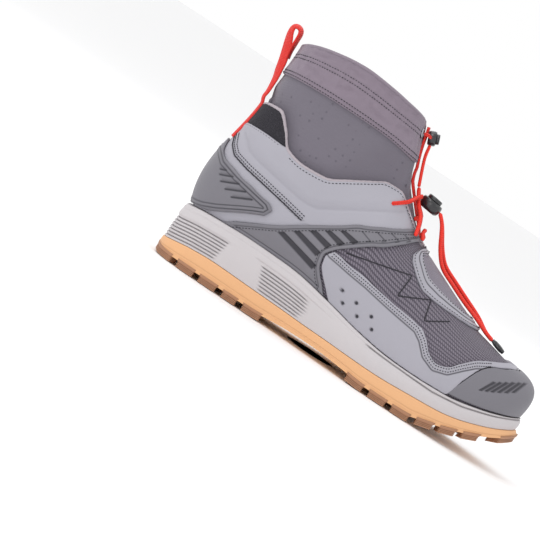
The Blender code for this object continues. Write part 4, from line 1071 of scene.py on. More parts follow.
# dark: for the gum's grain, and for painted shade in the sunk line on the rubber wall
GUM = finish(
    "gum rubber", linear(224, 172, 124), linear(150, 98, 66), 0.6, GRAIN, {"Scale": 700.0}, 0.00006, 0.10,
    "Mask", 0.04,
)
# the tread blocks: the plate's gum rubber painted darker, as painted shade on their sides and undersides
SHADED_TREAD_GUM = finish(
    "tread gum in painted shade", linear(170, 124, 94), linear(104, 72, 54), 0.66, GRAIN, {"Scale": 700.0}, 0.00006,
    0.15, "Mask", 0.08,
)
CORD = finish(
    "red cord braid", linear(240, 46, 26), linear(176, 22, 14), 0.6, RIBBED,
    {"Rib": 0.0016, "Across": 0.25, "Slant": 0.5}, 0.0004, 0.45, "Rise", 0.05,
)
TAPE = finish(
    "red webbing", linear(232, 40, 28), linear(160, 18, 14), 0.65, RIBBED,
    {"Rib": 0.0011, "Across": 0.0016}, 0.0004, 0.5, "Rise", 0.06,
)
PLASTIC = finish(
    "black gloss plastic",
    linear(30, 30, 34),
    linear(14, 14, 16),
    0.28,
    GRAIN,
    {"Scale": 900.0},
    0.00002,
    0.1,
    "Mask",
    0.2,
    rough_range=0.05,
    coat=0.35,
)
METAL = finish(
    "grey metal",
    linear(170, 170, 176),
    linear(90, 90, 96),
    0.32,
    GRAIN,
    {"Scale": 1500.0},
    0.00003,
    0.2,
    "Mask",
    0.1,
    metal=1.0,
)
THREAD_DARK = finish(
    "dark thread", linear(44, 42, 50), linear(24, 24, 30), 0.75, GRAIN, {"Scale": 3000.0}, 0.0001, 0.3,
    "Mask", 0.1,
)


# camera and light

SCALE = 1.36  # picture units per millimetre of the boot, in a 540 by 540 picture
ROLL, AZIMUTH, ELEVATION = math.radians(33.4), math.radians(2.0), math.radians(4.0)
LENS, SENSOR, FRAME = 200.0, 36.0, 540.0
# a point of the boot in its middle plane, and where the picture shows it
ANCHOR, ANCHOR_AT = (120.0, 0.0, 80.0), (349.0, 247.5)


def aim_camera():
    """The photograph's view: right and up turned about the line of sight by ROLL, the anchor on its place."""
    toward = np.array(
        [
            math.sin(AZIMUTH) * math.cos(ELEVATION),
            -math.cos(AZIMUTH) * math.cos(ELEVATION),
            math.sin(ELEVATION),
        ]
    )
    level = np.array([math.cos(AZIMUTH), math.sin(AZIMUTH), 0.0])
    upright = np.cross(toward, level)
    right = level * math.cos(ROLL) + upright * math.sin(ROLL)
    up = -level * math.sin(ROLL) + upright * math.cos(ROLL)
    dx, dy = (FRAME / 2 - ANCHOR_AT[0]) / SCALE, (FRAME / 2 - ANCHOR_AT[1]) / SCALE
    middle = place(np.array(ANCHOR)) + MM * (right * dx - up * dy)
    distance = FRAME / SCALE * MM * LENS / SENSOR
    data = bpy.data.cameras.new("camera")
    data.lens, data.sensor_width, data.clip_end = LENS, SENSOR, 50.0
    cam = bpy.data.objects.new("camera", data)
    bpy.context.collection.objects.link(cam)
    m = np.eye(4)
    m[:3, 0], m[:3, 1], m[:3, 2], m[:3, 3] = right, up, toward, middle + toward * distance
    cam.matrix_world = Matrix(m.tolist())
    bpy.context.scene.camera = cam


WHITE_AIR = 1.0  # strength of the white all round
FLOOR_UNDER = 0.0004  # metres from the tread down to the floor
# each lamp's name, place in metres, side in metres and power in watts
LAMPS = [
    ("key", (-0.9, -1.1, 1.7), 0.8, 9),
    ("over", (-0.7, 0.2, 1.9), 1.0, 5),
    ("front", (1.5, -0.8, 0.9), 0.9, 1.5),
    ("low", (-0.3, -1.7, 0.22), 0.8, 3),
    ("behind", (-0.2, 1.5, 1.2), 1.0, 3),
]
LAMPS_AIM = (0.1, 0.0, 0.08)


def lamp(name, where, to, size, power):
    """A soft square lamp aimed at a point."""
    data = bpy.data.lights.new(name, "AREA")
    data.shape, data.size, data.energy = "SQUARE", size, power
    o = bpy.data.objects.new(name, data)
    bpy.context.collection.objects.link(o)
    z = np.array(where, float) - np.array(to, float)
    z /= np.linalg.norm(z)
    x = np.cross([0.0, 1.0, 0.0] if abs(z[2]) > 0.95 else [0, 0, 1.0], z)
    x /= np.linalg.norm(x)
    m = np.eye(4)
    m[:3, 0], m[:3, 1], m[:3, 2], m[:3, 3] = x, np.cross(z, x), z, where
    o.matrix_world = Matrix(m.tolist())


def studio():
    """A wide pale floor under white air, with soft lamps from above the heel, the front and behind."""
    r = np.linspace(0.02, 14.0, 24)
    g = turn(64)
    grid = np.stack(
        [r[:, None] * np.cos(g) + 0.1, r[:, None] * np.sin(g), np.full((24, 64), -FLOOR_UNDER)], -1
    )
    me = bpy.data.meshes.new("floor")
    me.from_pydata(
        grid.reshape(-1, 3).tolist(), [], quads(len(r), 64, False, True).tolist() + [list(range(64))[::-1]]
    )
    me.shade_smooth()
    floor = bpy.data.objects.new("floor", me)
    bpy.context.collection.objects.link(floor)
    m = bpy.data.materials.new("pale floor")
    m.use_nodes = True
    b = m.node_tree.nodes["Principled BSDF"]
    b.inputs["Base Color"].default_value = (0.93, 0.93, 0.935, 1)
    b.inputs["Roughness"].default_value = 0.85
    b.inputs["Specular IOR Level"].default_value = 0.1
    me.materials.append(m)
    world = bpy.data.worlds.new("studio")
    bpy.context.scene.world = world
    world.use_nodes = True
    air = world.node_tree.nodes["Background"]
    air.inputs["Color"].default_value = (1, 1, 1, 1)
    air.inputs["Strength"].default_value = WHITE_AIR
    for name, where, size, power in LAMPS:
        lamp(name, where, LAMPS_AIM, size, power)


bpy.context.scene.view_settings.view_transform = "Standard"
aim_camera()
studio()


# the lace ends

CORD_R, DRAW_R = 1.5, 1.2  # radius of the lace and of the drawcord
LEVEL_LINE = 0.05  # how far a lace end's cross direction leans up


def upper_point(x, z, side, height):
    """The upper's face under a side-view point, moved out by height, and its normal."""
    k, h = locate(np.array([[x, z]]), side)[0]
    p, n = upper_face(np.array([k]), side, np.array([h]))
    return p[0] + n[0] * height, n[0]


_plan = {}  # the upper's net over the instep, worked out once


def instep(x, y, off):
    """Points off above the upper at plan points: the nearest face's plane, carried on past the throat."""
    if not _plan:
        ks, hs = np.meshgrid(np.linspace(10.5, LAST_ROW, 191), np.linspace(0.35, 1, 80), indexing="ij")
        parts = [upper_face(ks, s, hs) for s in SPAN]
        _plan["p"] = np.concatenate([a.reshape(-1, 3) for a, _ in parts])
        _plan["n"] = np.concatenate([b.reshape(-1, 3) for _, b in parts])
    q, n = _plan["p"], _plan["n"]
    at = np.stack([np.ravel(x), np.ravel(y)], -1).astype(float)
    i = nearest(at, q[:, :2])
    z = (
        q[i, 2]
        - (n[i, 0] * (at[:, 0] - q[i, 0]) + n[i, 1] * (at[:, 1] - q[i, 1])) / np.maximum(n[i, 2], 0.2)
    )
    out = np.concatenate([at, z[:, None]], -1) + n[i] * np.ravel(np.broadcast_to(off, np.shape(x)))[:, None]
    return out.reshape(*np.shape(x), 3)


def mirrored(half):
    """A line from the outer side to the middle plane, and back out on the inner side."""
    q = np.array(half, float)
    return np.concatenate([q, q[-2::-1] * [1, -1, 1]])


def lace_ends():
    """The two lace ends: out of the big lock, down on to the pocket and along it to the clip."""
    made = []
    for y, word in ((-1.0, "outer"), (1.0, "inner")):
        rise = 2.6 if y > 0 else 0.0
        # along the boot, sideways from its middle, and over the upper
        rest = [(184, 3.6, 5.0 + rise), (196, 3.9, 4.6 + rise), (210, 3.4, 4.6 + rise)]
        rest += [(226, 2.9, 4.9 + rise * 0.6), (238, 2.5, 3.4), (245.5, 2.2, 2.7)]
        low = [instep(np.array([a]), np.array([y * b]), c)[0] for a, b, c in rest]
        fall = [(161.3, y * 2.6, 140.4), (166.5, y * 2.8, 135.6), (171.5, y * 3.1, 127.5 + rise * 0.6)]
        line = smooth_line(fall + [(176.0, y * 3.4, 119.6 + rise)] + low, 1.6)
        o = rope("lace_end_" + word, line, CORD_R, (0, 1, LEVEL_LINE), CORD, nodes=["lace_tail_" + word])
        metres = place(line)
        length = float(np.linalg.norm(np.diff(metres, axis=0), axis=1).sum())
        made.append((o, metres, length))
    return made


lace_tails = lace_ends()


# the outer boot's shell


def hollow(name, face, ks, hs, wall, crest_from, look, nodes, sole=None, lining=0.0):
    """A hollow body round the last: outer and inner grids over (row, share), joined at both their ends.

    The two sides' tops are one line from the row crest_from on. With a sole, strips across close it.
    """
    n, m = 2 * len(ks) - 2, len(hs)
    outer, inner = [], []
    for side, order in ((LATERAL, ks), (MEDIAL, ks[-2:0:-1])):
        a, b = np.meshgrid(order, hs, indexing="ij")
        p, nrm = face(a, side, b)
        outer.append(p)
        inner.append(p - nrm * wall)
    outer, inner = np.concatenate(outer), np.concatenate(inner)
    rows = np.concatenate([ks, ks[-2:0:-1]])
    crest = np.nonzero(ks >= crest_from)[0]
    crest = crest[crest < len(ks) - 1]
    for grid in (outer, inner):
        middle = (grid[crest, -1] + grid[n - crest, -1]) / 2
        grid[crest, -1] = middle
        grid[n - crest, -1] = middle
    i = np.arange(n)
    i2 = (i + 1) % n
    total = n * m
    open_rim = ~((rows[i] >= crest_from) & (rows[i2] >= crest_from))
    a, b = i[open_rim] * m + m - 1, i2[open_rim] * m + m - 1
    faces = [
        quads(n, m, True),
        quads(n, m, True, start=total)[:, ::-1],
        np.stack([a, b, b + total, a + total], -1),
    ]
    if sole is None:
        faces.append(np.stack([i * m, i * m + total, i2 * m + total, i2 * m], -1))
    else:
        inner[:, 0, 2] = outer[:, 0, 2] + sole
        half = len(ks)
        j = np.arange(1, half - 2)
        for s in (0, total):
            faces.append(s + np.stack([j * m, (j + 1) * m, (n - j - 1) * m, (n - j) * m], -1))
            faces.append(s + np.array([[0, m, (n - 1) * m], [(half - 1) * m, (half - 2) * m, half * m]]))
    points = np.concatenate([outer.reshape(-1, 3), inner.reshape(-1, 3)])
    mark = np.concatenate([np.zeros(total), np.full(total, lining)])
    return piece(name, points, faces, look, nodes, twice(runs(outer)), mark, weld=1.5e-5)


TIGHT_ROWS = np.unique(
    np.concatenate(
        [np.linspace(0, 4, 25), np.linspace(4, 9, 16), np.linspace(9, 14.5, 36), np.linspace(14.5, 20, 44)]
    )
)
SHELL_WALL, SOCK_WALL, CUFF_WALL = 2.2, 1.8, 1.0
SHELL_SHARES, SOCK_SHARES = np.linspace(0, 1, 46), np.linspace(0, 1, 60)
hollow(
    "outer_shell",
    upper_face,
    TIGHT_ROWS,
    SHELL_SHARES,
    SHELL_WALL,
    UPPER_CREST,
    KNITTED,
    ["upper"],
    lining=0.7,
)
hollow(
    "sock", bootie_face, TIGHT_ROWS, SOCK_SHARES, SOCK_WALL, BOOTIE_CREST, SOFT,
    ["inner_bootie", "sock_board"], sole=SOCK_WALL, lining=0.55,
)

# the quarter: one sheet each side from the heel's seam to under the strap, its top edge at the collar
STRAP_REAR = [
    (33, 47.5), (46, 54.3), (57, 60.2), (68, 66), (87, 78.6), (112, 95), (129, 105), (145, 114.5),
    (153, 119.3),
]
STRAP_FRONT = [
    (128.5, 42.4), (121.6, 47.5), (114.5, 54), (110.3, 60), (108.8, 67), (112.5, 73.5), (122, 82),
    (137.5, 94), (153, 107), (161, 114),
]
STRAP_MIDDLE = [
    (82, 45), (84.5, 51), (86, 57), (89, 65), (98, 73.5), (112, 84), (125.5, 94), (141, 104.5),
    (153, 113.5), (157, 116.6),
]
PATCH_LOW = [(3, 113.5), (12, 116.2), (25, 117.0), (38, 116.6)]
SEAM = [(4.5, 104.1), (8.5, 96.0), (14.3, 90.9), (27.4, 87.9), (45.1, 85.2), (63, 82.2), (81.3, 78.8)]
CREASE = [
    (12.0, 108.0), (16.4, 104.9), (22.0, 99.6), (30, 97.4), (72.3, 91.0), (79, 91.0), (86.7, 92.5),
    (112, 108.0), (138.5, 124.9),
]
QUARTER = 0.9  # thickness of the quarter's sheet
PUFF = 1.3  # how far it swells at the collar
COLLAR_SHARES = np.linspace(0.5, 1, 140)  # shares searched for the quarter's top edge
PILE_TO = 4.15  # the row where the collar's pile ends
ABOVE_SEAM = [(160, 79), (160, 190), (-20, 190), (-20, 104)]
ABOVE_CREASE = [(160, 125), (160, 190), (-20, 190), (-20, 108)]


def share_at_height(raw, ks, side, line, hs, top):
    """For each row, which of the shares hs a face crosses a side-view line at, no higher than top."""
    a, b = np.meshgrid(ks, hs, indexing="ij")
    p = raw(a, side, b)
    over = p[..., 2] - line_at(line, p[..., 0])
    hit = over > 0
    i = np.clip(hit.argmax(1), 1, len(hs) - 1)
    j = np.arange(len(ks))
    o0, o1 = over[j, i - 1], over[j, i]
    h = hs[i - 1] + (hs[i] - hs[i - 1]) * np.clip(-o0 / np.where(np.abs(o1 - o0) < 1e-6, 1, o1 - o0), 0, 1)
    return np.where(hit.any(1), np.minimum(h, top), top)


def quarter_sheets():
    """Each side's quarter: rounded at its borders, puffed over the crease, lower below the seam."""
    for side, word in zip(SPAN, ("lateral", "medial")):
        front = curve_on(STRAP_MIDDLE, 60, side)
        order = np.argsort(front[:, 1])
        v = steps(92, 0.012)
        u = steps(150, 0.006)
        k_end = np.interp(v, front[order, 1], front[order, 0])
        k = u[:, None] * k_end[None, :]
        rear_rows = np.linspace(0, 4.2, 40)
        edge_share = share_at_height(upper_raw, rear_rows, side, PATCH_LOW, COLLAR_SHARES, 1.0)
        top = np.interp(k, rear_rows, edge_share, right=1.0)
        h = 0.003 + (top - 0.005) * v[None, :]
        p, n = upper_face(k, side, h)
        xz = p[..., [0, 2]]
        d = border_distance(p, (True, False, False, False))
        crease, seam = off_line(xz, CREASE), off_line(xz, SEAM)
        above_seam = within(xz, SEAM + ABOVE_SEAM)
        puff = PUFF * ease(within(xz, CREASE + ABOVE_CREASE) / 7.0) * rounded(d, 9.0)
        height = (
            QUARTER * rounded(d, 1.2) * (0.6 + 0.4 * ease((above_seam + 0.5) / 0.8))
            + puff
            - 0.55 * groove(crease, 5.0)
            - 0.45 * groove(seam, 1.5)
        )
        # the seam's own dark line, and a little painted shade in the crease
        mark = np.clip(groove(seam, 1.5) + 0.1 * groove(crease, 3.0), 0, 1)
        panel("quarter_" + word, p, n, 0.1, height, PALE, mark=mark)


def collar_patch():
    """The pile at the collar's back, from the quarter's top edge to the top line, with a bristly height."""
    v, u = steps(26, 0.02), steps(60, 0.006)
    rows = PILE_TO * (1 - u)
    low = share_at_height(upper_raw, rows, LATERAL, PATCH_LOW, COLLAR_SHARES, AT_TOP)
    kh = np.stack([np.repeat(rows[:, None], len(v), 1), low[:, None] + (1 - low[:, None]) * v[None, :]], -1)
    kh[..., 1] = np.minimum(kh[..., 1], 1.0)
    p, n = both_sides(kh)
    x, y, z = p[..., 0], p[..., 1], p[..., 2]
    noise = np.sin(x * 7.3 + z * 3.1) * np.sin(y * 6.1 - z * 5.7) * np.sin(z * 8.9 + x * 2.7)
    height = 0.45 + 0.9 * rounded(border_distance(p), 2.0) + 0.12 * noise
    panel("collar_pile", p, n, 0.1, height, FUZZ)


quarter_sheets()
collar_patch()


PIPING_WIDE, PIPING_HIGH = 2.1, 1.55  # half sizes of its section


def top_piping():
    """A flat round binding over the top edge, from the heel round each side to the throat."""
    stop, count, around = 13.95, 170, 14
    rows = np.concatenate([np.linspace(stop, 0, count), np.linspace(0, stop, count)[1:]])
    sides = np.where(np.arange(len(rows)) < count, LATERAL, MEDIAL)
    line = np.zeros((len(rows), 3))
    normal = np.zeros((len(rows), 3))
    for side in SPAN:
        pick = sides == side
        p, n = upper_face(rows[pick], side, np.ones(pick.sum()))
        line[pick], normal[pick] = p, n
    low = np.zeros_like(line)
    for side in SPAN:
        pick = sides == side
        low[pick] = upper_raw(rows[pick], side, np.full(pick.sum(), 0.975))
    up = line - low
    up = unit(up)
    for _ in range(6):
        up[1:-1] = (up[:-2] + 2 * up[1:-1] + up[2:]) / 4
        normal[1:-1] = (normal[:-2] + 2 * normal[1:-1] + normal[2:]) / 4
    g = turn(around)
    centre = line - normal * 0.65 - up * 0.45
    wobble = 1 + 0.05 * np.sin(np.arange(len(rows)) * 1.9)
    out = (PIPING_WIDE * wobble)[:, None, None] * np.cos(g)[None, :, None] * normal[:, None]
    rise = (PIPING_HIGH * wobble)[:, None, None] * np.sin(g)[None, :, None] * up[:, None]
    grid = centre[:, None] + out + rise
    uv = np.stack(np.meshgrid(run_along(line) * MM, g * 0.0018, indexing="ij"), -1)
    n = len(rows)
    caps = [np.arange(around)[::-1][None], ((n - 1) * around + np.arange(around))[None]]
    piece(
        "collar_piping", grid, [quads(n, around, False, True)] + caps, PIPING, uv=uv, weld=0
    )
    # a row of stitches under it, and one along the quarter's top edge at the pile
    seams = []
    for side in SPAN:
        ks = np.linspace(4.2, 13.6, 160)
        top = upper_raw(ks, side, np.ones(160))
        tenth = np.linalg.norm(top - upper_raw(ks, side, np.full(160, 0.9)), axis=-1)
        q, m = upper_face(ks, side, 1 - 2.7 / np.maximum(tenth, 1e-3) * 0.1)
        seams.append((q + m * 1.75, m))
        seams.append(on_upper_line(shifted(PATCH_LOW, -1.6), side, 1.35))
    stitches("collar_stitches", seams, THREAD_DARK, pitch=2.6, length=1.9, radius=0.3)


top_piping()


# dark overlays

EDGE_RISE = 1.3  # how far a moulded plate's rounded edge stands up


def strap_plates():
    """Midfoot straps: a plate between two curves, with five slanting vents, pressed marks and a sunk line."""
    vents = [
        [(71.6, 62.6), (75.2, 65.4), (108.7, 58.0), (107.1, 53.8)],
        [(80.8, 69.4), (84.4, 72.0), (106.0, 67.4), (104.2, 63.2)],
        [(90.2, 75.9), (94.2, 78.7), (109.4, 76.0), (107.5, 71.8)],
        [(99.9, 82.0), (103.4, 84.4), (117.0, 82.4), (114.4, 78.6)],
        [(109.0, 88.0), (112.2, 90.2), (124.9, 89.0), (122.0, 85.3)],
    ]
    marks = [
        [(122.8, 96.6), (131.5, 94.4), (129.2, 92.6)],
        [(131.8, 102.4), (140.4, 100.4), (138.2, 98.6)],
        [(140.6, 107.4), (148.2, 105.6), (146.2, 103.9)],
        [(148.6, 111.6), (154.4, 110.2), (152.6, 108.4)],
    ]
    for side, word in zip(SPAN, ("lateral", "medial")):
        u, v = steps(250, 0.004), steps(84, 0.014)
        a, b = curve_on(STRAP_REAR, 120, side), curve_on(STRAP_FRONT, 120, side)
        at = np.linspace(0, 1, 120)
        ra = np.stack([np.interp(u, at, a[:, i]) for i in (0, 1)], -1)
        rb = np.stack([np.interp(u, at, b[:, i]) for i in (0, 1)], -1)
        kh = ra[:, None] * (1 - v[None, :, None]) + rb[:, None] * v[None, :, None]
        kh[..., 1] = np.clip(kh[..., 1] - 0.02 * ease((0.08 - kh[..., 1]) / 0.06), 0.003, 1)
        p, n = upper_face(kh[..., 0], side, kh[..., 1])
        xz = p[..., [0, 2]]
        d = border_distance(p)
        vent = np.zeros(d.shape)
        for q in vents:
            vent = np.maximum(vent, ease((within(xz, q) + 0.35) / 0.8))
        pressed = np.zeros(d.shape)
        for q in marks:
            pressed = np.maximum(pressed, groove(off_line(xz, q), 1.5))
        rim = groove(np.abs(d - 2.7), 1.5)
        height = 1.0 + EDGE_RISE * rounded(d, 0.9) - 1.05 * vent - 0.45 * pressed - 0.4 * rim
        # the mark is painted shade in the vents, the pressed marks and the sunk line
        mark = np.maximum.reduce([vent, pressed * 0.75, rim * 0.7])
        panel("strap_plate_" + word, p, n, 0.85, height, DARK, ["strap_" + word], mark)
        seams = [
            on_upper_line(shifted(STRAP_REAR, -3.9), side, 2.3),
            on_upper_line(shifted(STRAP_FRONT, 4.0), side, 2.3),
        ]
        stitches(
            "strap_stitches_" + word, seams, THREAD_DARK, pitch=2.4, length=1.7, radius=0.3
        )


strap_plates()

COUNTER_TOP = [(60, 73.0), (54.6, 76.5), (40.5, 78.8), (26, 81.2), (13, 84.5), (5, 91), (-1.5, 98)]
COUNTER_LOW = [(57.0, 67.0), (49, 63.3), (41.3, 59.2), (26, 50.4), (17, 45.9), (11, 44.0), (5.2, 43.2)]


def heel_counter():
    """Heel counter: a plate round the heel, with a sunk double line in its edges and louvres each side."""
    top, low = curve_on(COUNTER_TOP, 100), curve_on(COUNTER_LOW, 100)
    top[-1, 0] = low[-1, 0] = 0.0
    low[:, 1] = np.maximum(low[:, 1], 0.02)
    v = steps(84, 0.015)[None, :, None]
    u = np.concatenate([steps(150, 0.008)[:75], np.linspace(0.5, 1, 66)[1:]])
    at = np.linspace(0, 1, 100)
    ta, lo = (np.stack([np.interp(u, at, c[:, i]) for i in (0, 1)], -1) for c in (top, low))
    p, n = both_sides(ta[:, None] * (1 - v) + lo[:, None] * v)
    xz = p[..., [0, 2]]
    d = border_distance(p)
    outline = COUNTER_TOP + [(-30, 120), (-30, 30), (4, 43.2)] + COUNTER_LOW[-2::-1]
    inset = within(xz, outline)
    lines = np.maximum(groove(np.abs(inset - 2.4), 1.7), groove(np.abs(inset - 5.0), 1.7))
    lift = 0.5 * ease((inset - 0.3) / 1.2) * (1 - ease((inset - 5.2) / 0.8))
    louvres = np.zeros(d.shape)
    field = within(xz, [(11.6, 80.5), (13.4, 71.5), (30.0, 63.4), (47.0, 72.4)])
    rows = [
        [(12.4, 76.9), (16.6, 78.6)],
        [(14.3, 73.6), (23.0, 77.6)],
        [(17.5, 70.0), (29.4, 75.8)],
        [(23.2, 67.3), (36.4, 73.8)],
        [(30.0, 65.0), (43.2, 71.6)],
    ]
    for a, b in rows:
        louvres = np.maximum(louvres, 1 - ease((off_line(xz, [a, b]) - 0.15) / 0.9))
    slope = np.zeros(d.shape)
    for a, b in rows:
        dx, dz = b[0] - a[0], b[1] - a[1]
        over = (xz - np.array(a)) @ np.array([-dz, dx]) / np.hypot(dx, dz)
        along = (xz - np.array(a)) @ np.array([dx, dz]) / np.hypot(dx, dz) ** 2
        blade = ease(over / 0.4) * (1 - ease((over - 0.4) / 2.6))
        slope = np.maximum(slope, blade * ease(along / 0.08) * ease((1.02 - along) / 0.08))
    inside = ease((field + 1.5) / 1.0)
    height = 1.2 + EDGE_RISE * rounded(d, 0.9) + lift - 0.4 * lines - 0.75 * louvres - 0.55 * slope * inside
    # the mark is painted shade in the sunk double line and the louvres, and on the louvres' sloping blades
    mark = np.maximum.reduce([lines * 0.9, louvres * 0.95, slope * 0.25 * inside])
    panel("counter_plate", p, n, 1.0, height, DARK, ["heel_counter"], mark)


heel_counter()

CAP_EDGE = [
    (236.5, 36.6), (242, 50), (248, 62), (253.5, 67.4), (264, 71.8), (270.5, 74.4), (275, 76.0), (277, 76.7)
]


def toe_cap():
    """Toe cap: a smooth plate round the toe, its border rounded, with six slots cut on each side."""
    edge = curve_on(CAP_EDGE, 100)
    edge[:, 1] = np.maximum(edge[:, 1], 0.02)
    edge[-1, 0] = LAST_ROW
    low = np.stack([np.linspace(edge[0, 0] + 0.25, LAST_ROW, 100), np.full(100, 0.02)], -1)
    u = np.concatenate([steps(150, 0.008)[:75], np.linspace(0.5, 1, 76)[1:]])
    v = steps(84, 0.015)[None, :, None]
    at = np.linspace(0, 1, 100)
    ea, lo = (np.stack([np.interp(u, at, c[:, i]) for i in (0, 1)], -1) for c in (edge, low))
    p, n = both_sides(ea[:, None] * (1 - v) + lo[:, None] * v)
    xz = p[..., [0, 2]]
    d = border_distance(p)
    slots = [
        [(254.4, 50.6), (256.9, 51.2), (262.9, 61.2), (260.2, 60.8)],
        [(258.2, 52.2), (260.8, 52.8), (266.9, 63.2), (264.2, 62.8)],
        [(262.1, 53.8), (264.8, 54.6), (270.9, 65.4), (268.1, 64.9)],
        [(266.3, 55.8), (269.1, 56.7), (275.0, 67.6), (272.1, 67.1)],
        [(270.8, 58.2), (273.6, 59.1), (279.0, 69.4), (276.2, 69.0)],
        [(275.4, 60.8), (278.0, 61.9), (282.4, 70.8), (279.8, 70.4)],
    ]
    cut = np.zeros(d.shape)
    for q in slots:
        cut = np.maximum(cut, ease((within(xz, q) + 0.3) / 0.7))
    height = 1.1 + EDGE_RISE * rounded(d, 0.7) - 0.95 * cut
    # the mark, cut * 0.9, is painted shade in the six slots
    panel("toe_plate", p, n, 0.9, height, DARK, ["toe_cap"], cut * 0.9)


toe_cap()

RAND_TOP = [
    (113.9, 73.4), (132, 71.8), (147.5, 71), (174, 68), (195, 65.6), (203, 61), (211, 53.4), (219, 50.4),
    (227, 52.6), (234, 59.5), (242, 66.4), (252, 71.4), (260, 74.6), (265, 76.4), (266.5, 76.9),
]
RAND_LOW = [
    (130.2, 40.4), (150, 37.8), (165, 36.4), (185, 34.8), (200, 34.2), (212, 34.2), (224, 34.4),
    (235.9, 35.4), (241.4, 50.3), (247.4, 62.3), (253.0, 68.0), (259.6, 70.6), (269.9, 74.6),
    (274.1, 76.0), (276.0, 76.5),
]
RAND_REAR = [(113.9, 73.4), (110.2, 67.2), (111.6, 60.8), (115.8, 55.2), (122.8, 48.8), (130.2, 42.0)]
DRAIN = [(134.2, 54.4), (139.4, 47.2), (147.7, 53.3), (153.2, 45.9), (161.9, 51.9), (167.2, 44.6)]


def forefoot_sheet():
    """The pale sheet round the forefoot: a banded, double-stitched top edge, and drain holes on each side."""
    top = locate(np.array(RAND_TOP), LATERAL)
    low = locate(np.array(RAND_LOW), LATERAL)
    low[:, 1] = np.maximum(low[:, 1], 0.004)
    top[-1, 0] = low[-1, 0] = LAST_ROW
    keys = np.array([0, 1, 2, 3.6, 4.9, 5.6, 6.3, 7, 7.7, 8.7, 9.6, 10.4, 11.2, 11.9, 12.4])
    s = np.concatenate([steps(260, 0.004)[:6], np.linspace(0.004, 1, 250)]) * 12.4
    s = np.unique(np.round(s, 5))
    a, b = through(keys, top, s), through(keys, low, s)
    v = steps(80, 0.02)[None, :, None]
    kh = a[:, None] * (1 - v) + b[:, None] * v
    # its rear edge follows the strap's front edge
    rear = curve_on(RAND_REAR, 80)
    rear = np.stack([np.interp(v.ravel(), np.linspace(0, 1, 80), rear[:, i]) for i in (0, 1)], -1)
    kh += (ease(1 - s / 2.0) ** 2)[:, None, None] * (rear - kh[0])[None]
    p, n = both_sides(kh)
    xz = p[..., [0, 2]]
    d = border_distance(p)
    band = groove(np.abs(off_line(xz, RAND_TOP) - 5.3), 1.9)
    holes = np.zeros(d.shape)
    for c in DRAIN:
        r = np.linalg.norm(xz - np.array(c), axis=-1)
        holes = np.maximum(holes, 1 - ease((r - 0.9) / 0.7))
    height = 0.9 + EDGE_RISE * rounded(d, 0.7) - 0.3 * band - 1.6 * holes
    # the mark is painted shade in the sunk band and in the drain holes
    mark = np.maximum(band * 0.9, holes)
    panel("forefoot_sheet", p, n, 0.2, height, PALE, ["rand"], mark)
    seams = [
        on_upper_line(shifted(RAND_TOP[:-3], -inset), side, 2.25) for side in SPAN for inset in (1.5, 3.6)
    ]
    stitches("forefoot_stitches", seams, THREAD_DARK, pitch=2.0, length=1.3, radius=0.36)


forefoot_sheet()

ZIGZAG = [(121.3, 77.7), (170.0, 92.6), (169.0, 75.0), (191.0, 86.0), (195.0, 71.0), (211.0, 80.5)]
seam_line = [on_upper_line(SEAM, side, 0.85) for side in SPAN]
seam_rows = [on_upper_line(shifted(SEAM, off), side, 1.15) for side in SPAN for off in (1.7, 3.7)]
zigzag_rows = [on_upper_line(ZIGZAG, side, 0.15) for side in SPAN]
stitches("quarter_seam", seam_line, THREAD_DARK, pitch=2.0, length=2.0, radius=0.42)
stitches("quarter_stitches", seam_rows, THREAD_DARK, pitch=2.2, length=1.5, radius=0.32)
stitches("vamp_zigzag", zigzag_rows, THREAD_DARK, pitch=2.3, length=2.28, radius=0.5)


# the pocket on the instep: a frame ring and its window

POCKET_REAR, POCKET_FRONT = 165.5, 233.0
WINDOW_REAR, WINDOW_FRONT = 170.5, 221.5
POCKET = [
    (164.5, 34.0), (172, 35.5), (182, 35.0), (193, 33.0), (204, 29.6), (216, 23.6), (225, 16.4),
    (230.5, 8.6),
]
WINDOW = [(171.0, 25.5), (182, 25.5), (194, 23.4), (205, 19.8), (214, 14.6), (220, 7.6)]
POCKET_MIDDLE = (197.0, 0.0)
OUTLINE_POINTS = 900


def pocket_ring(table, rear, front, count):
    """A closed outline in plan with a rounded front, (count, 2)."""
    t = np.array(table, float)
    r = t[0, 1]
    outer_half = [(rear, -14.0), (rear - 3.6, -r + 2.6)] + [(a, -b) for a, b in table]
    inner_half = [(a, b) for a, b in table[::-1]] + [(rear - 3.6, r - 2.6), (rear, 14.0)]
    pts = np.array(outer_half + [(front, 0.0)] + inner_half + [(rear, 0.0)])
    loop = np.concatenate([pts, pts[:1]])
    run = run_along(loop)
    at = np.linspace(0, run[-1], count + 1)[:-1]
    q = np.stack([np.interp(at, run, loop[:, 0]), np.interp(at, run, loop[:, 1])], -1)
    for _ in range(5):
        q = (np.roll(q, 1, 0) + 2 * q + np.roll(q, -1, 0)) / 4
    return q


def by_angle(loop, angles):
    """The outline's points seen from the pocket's middle at the given angles."""
    d = loop - np.array(POCKET_MIDDLE)
    a = np.arctan2(d[:, 1], d[:, 0])
    o = np.argsort(a)
    a, r = a[o], np.linalg.norm(d, axis=1)[o]
    reach = np.interp(angles, np.concatenate([a - 2 * math.pi, a, a + 2 * math.pi]), np.tile(r, 3))
    return np.stack([POCKET_MIDDLE[0] + reach * np.cos(angles), reach * np.sin(angles)], -1)


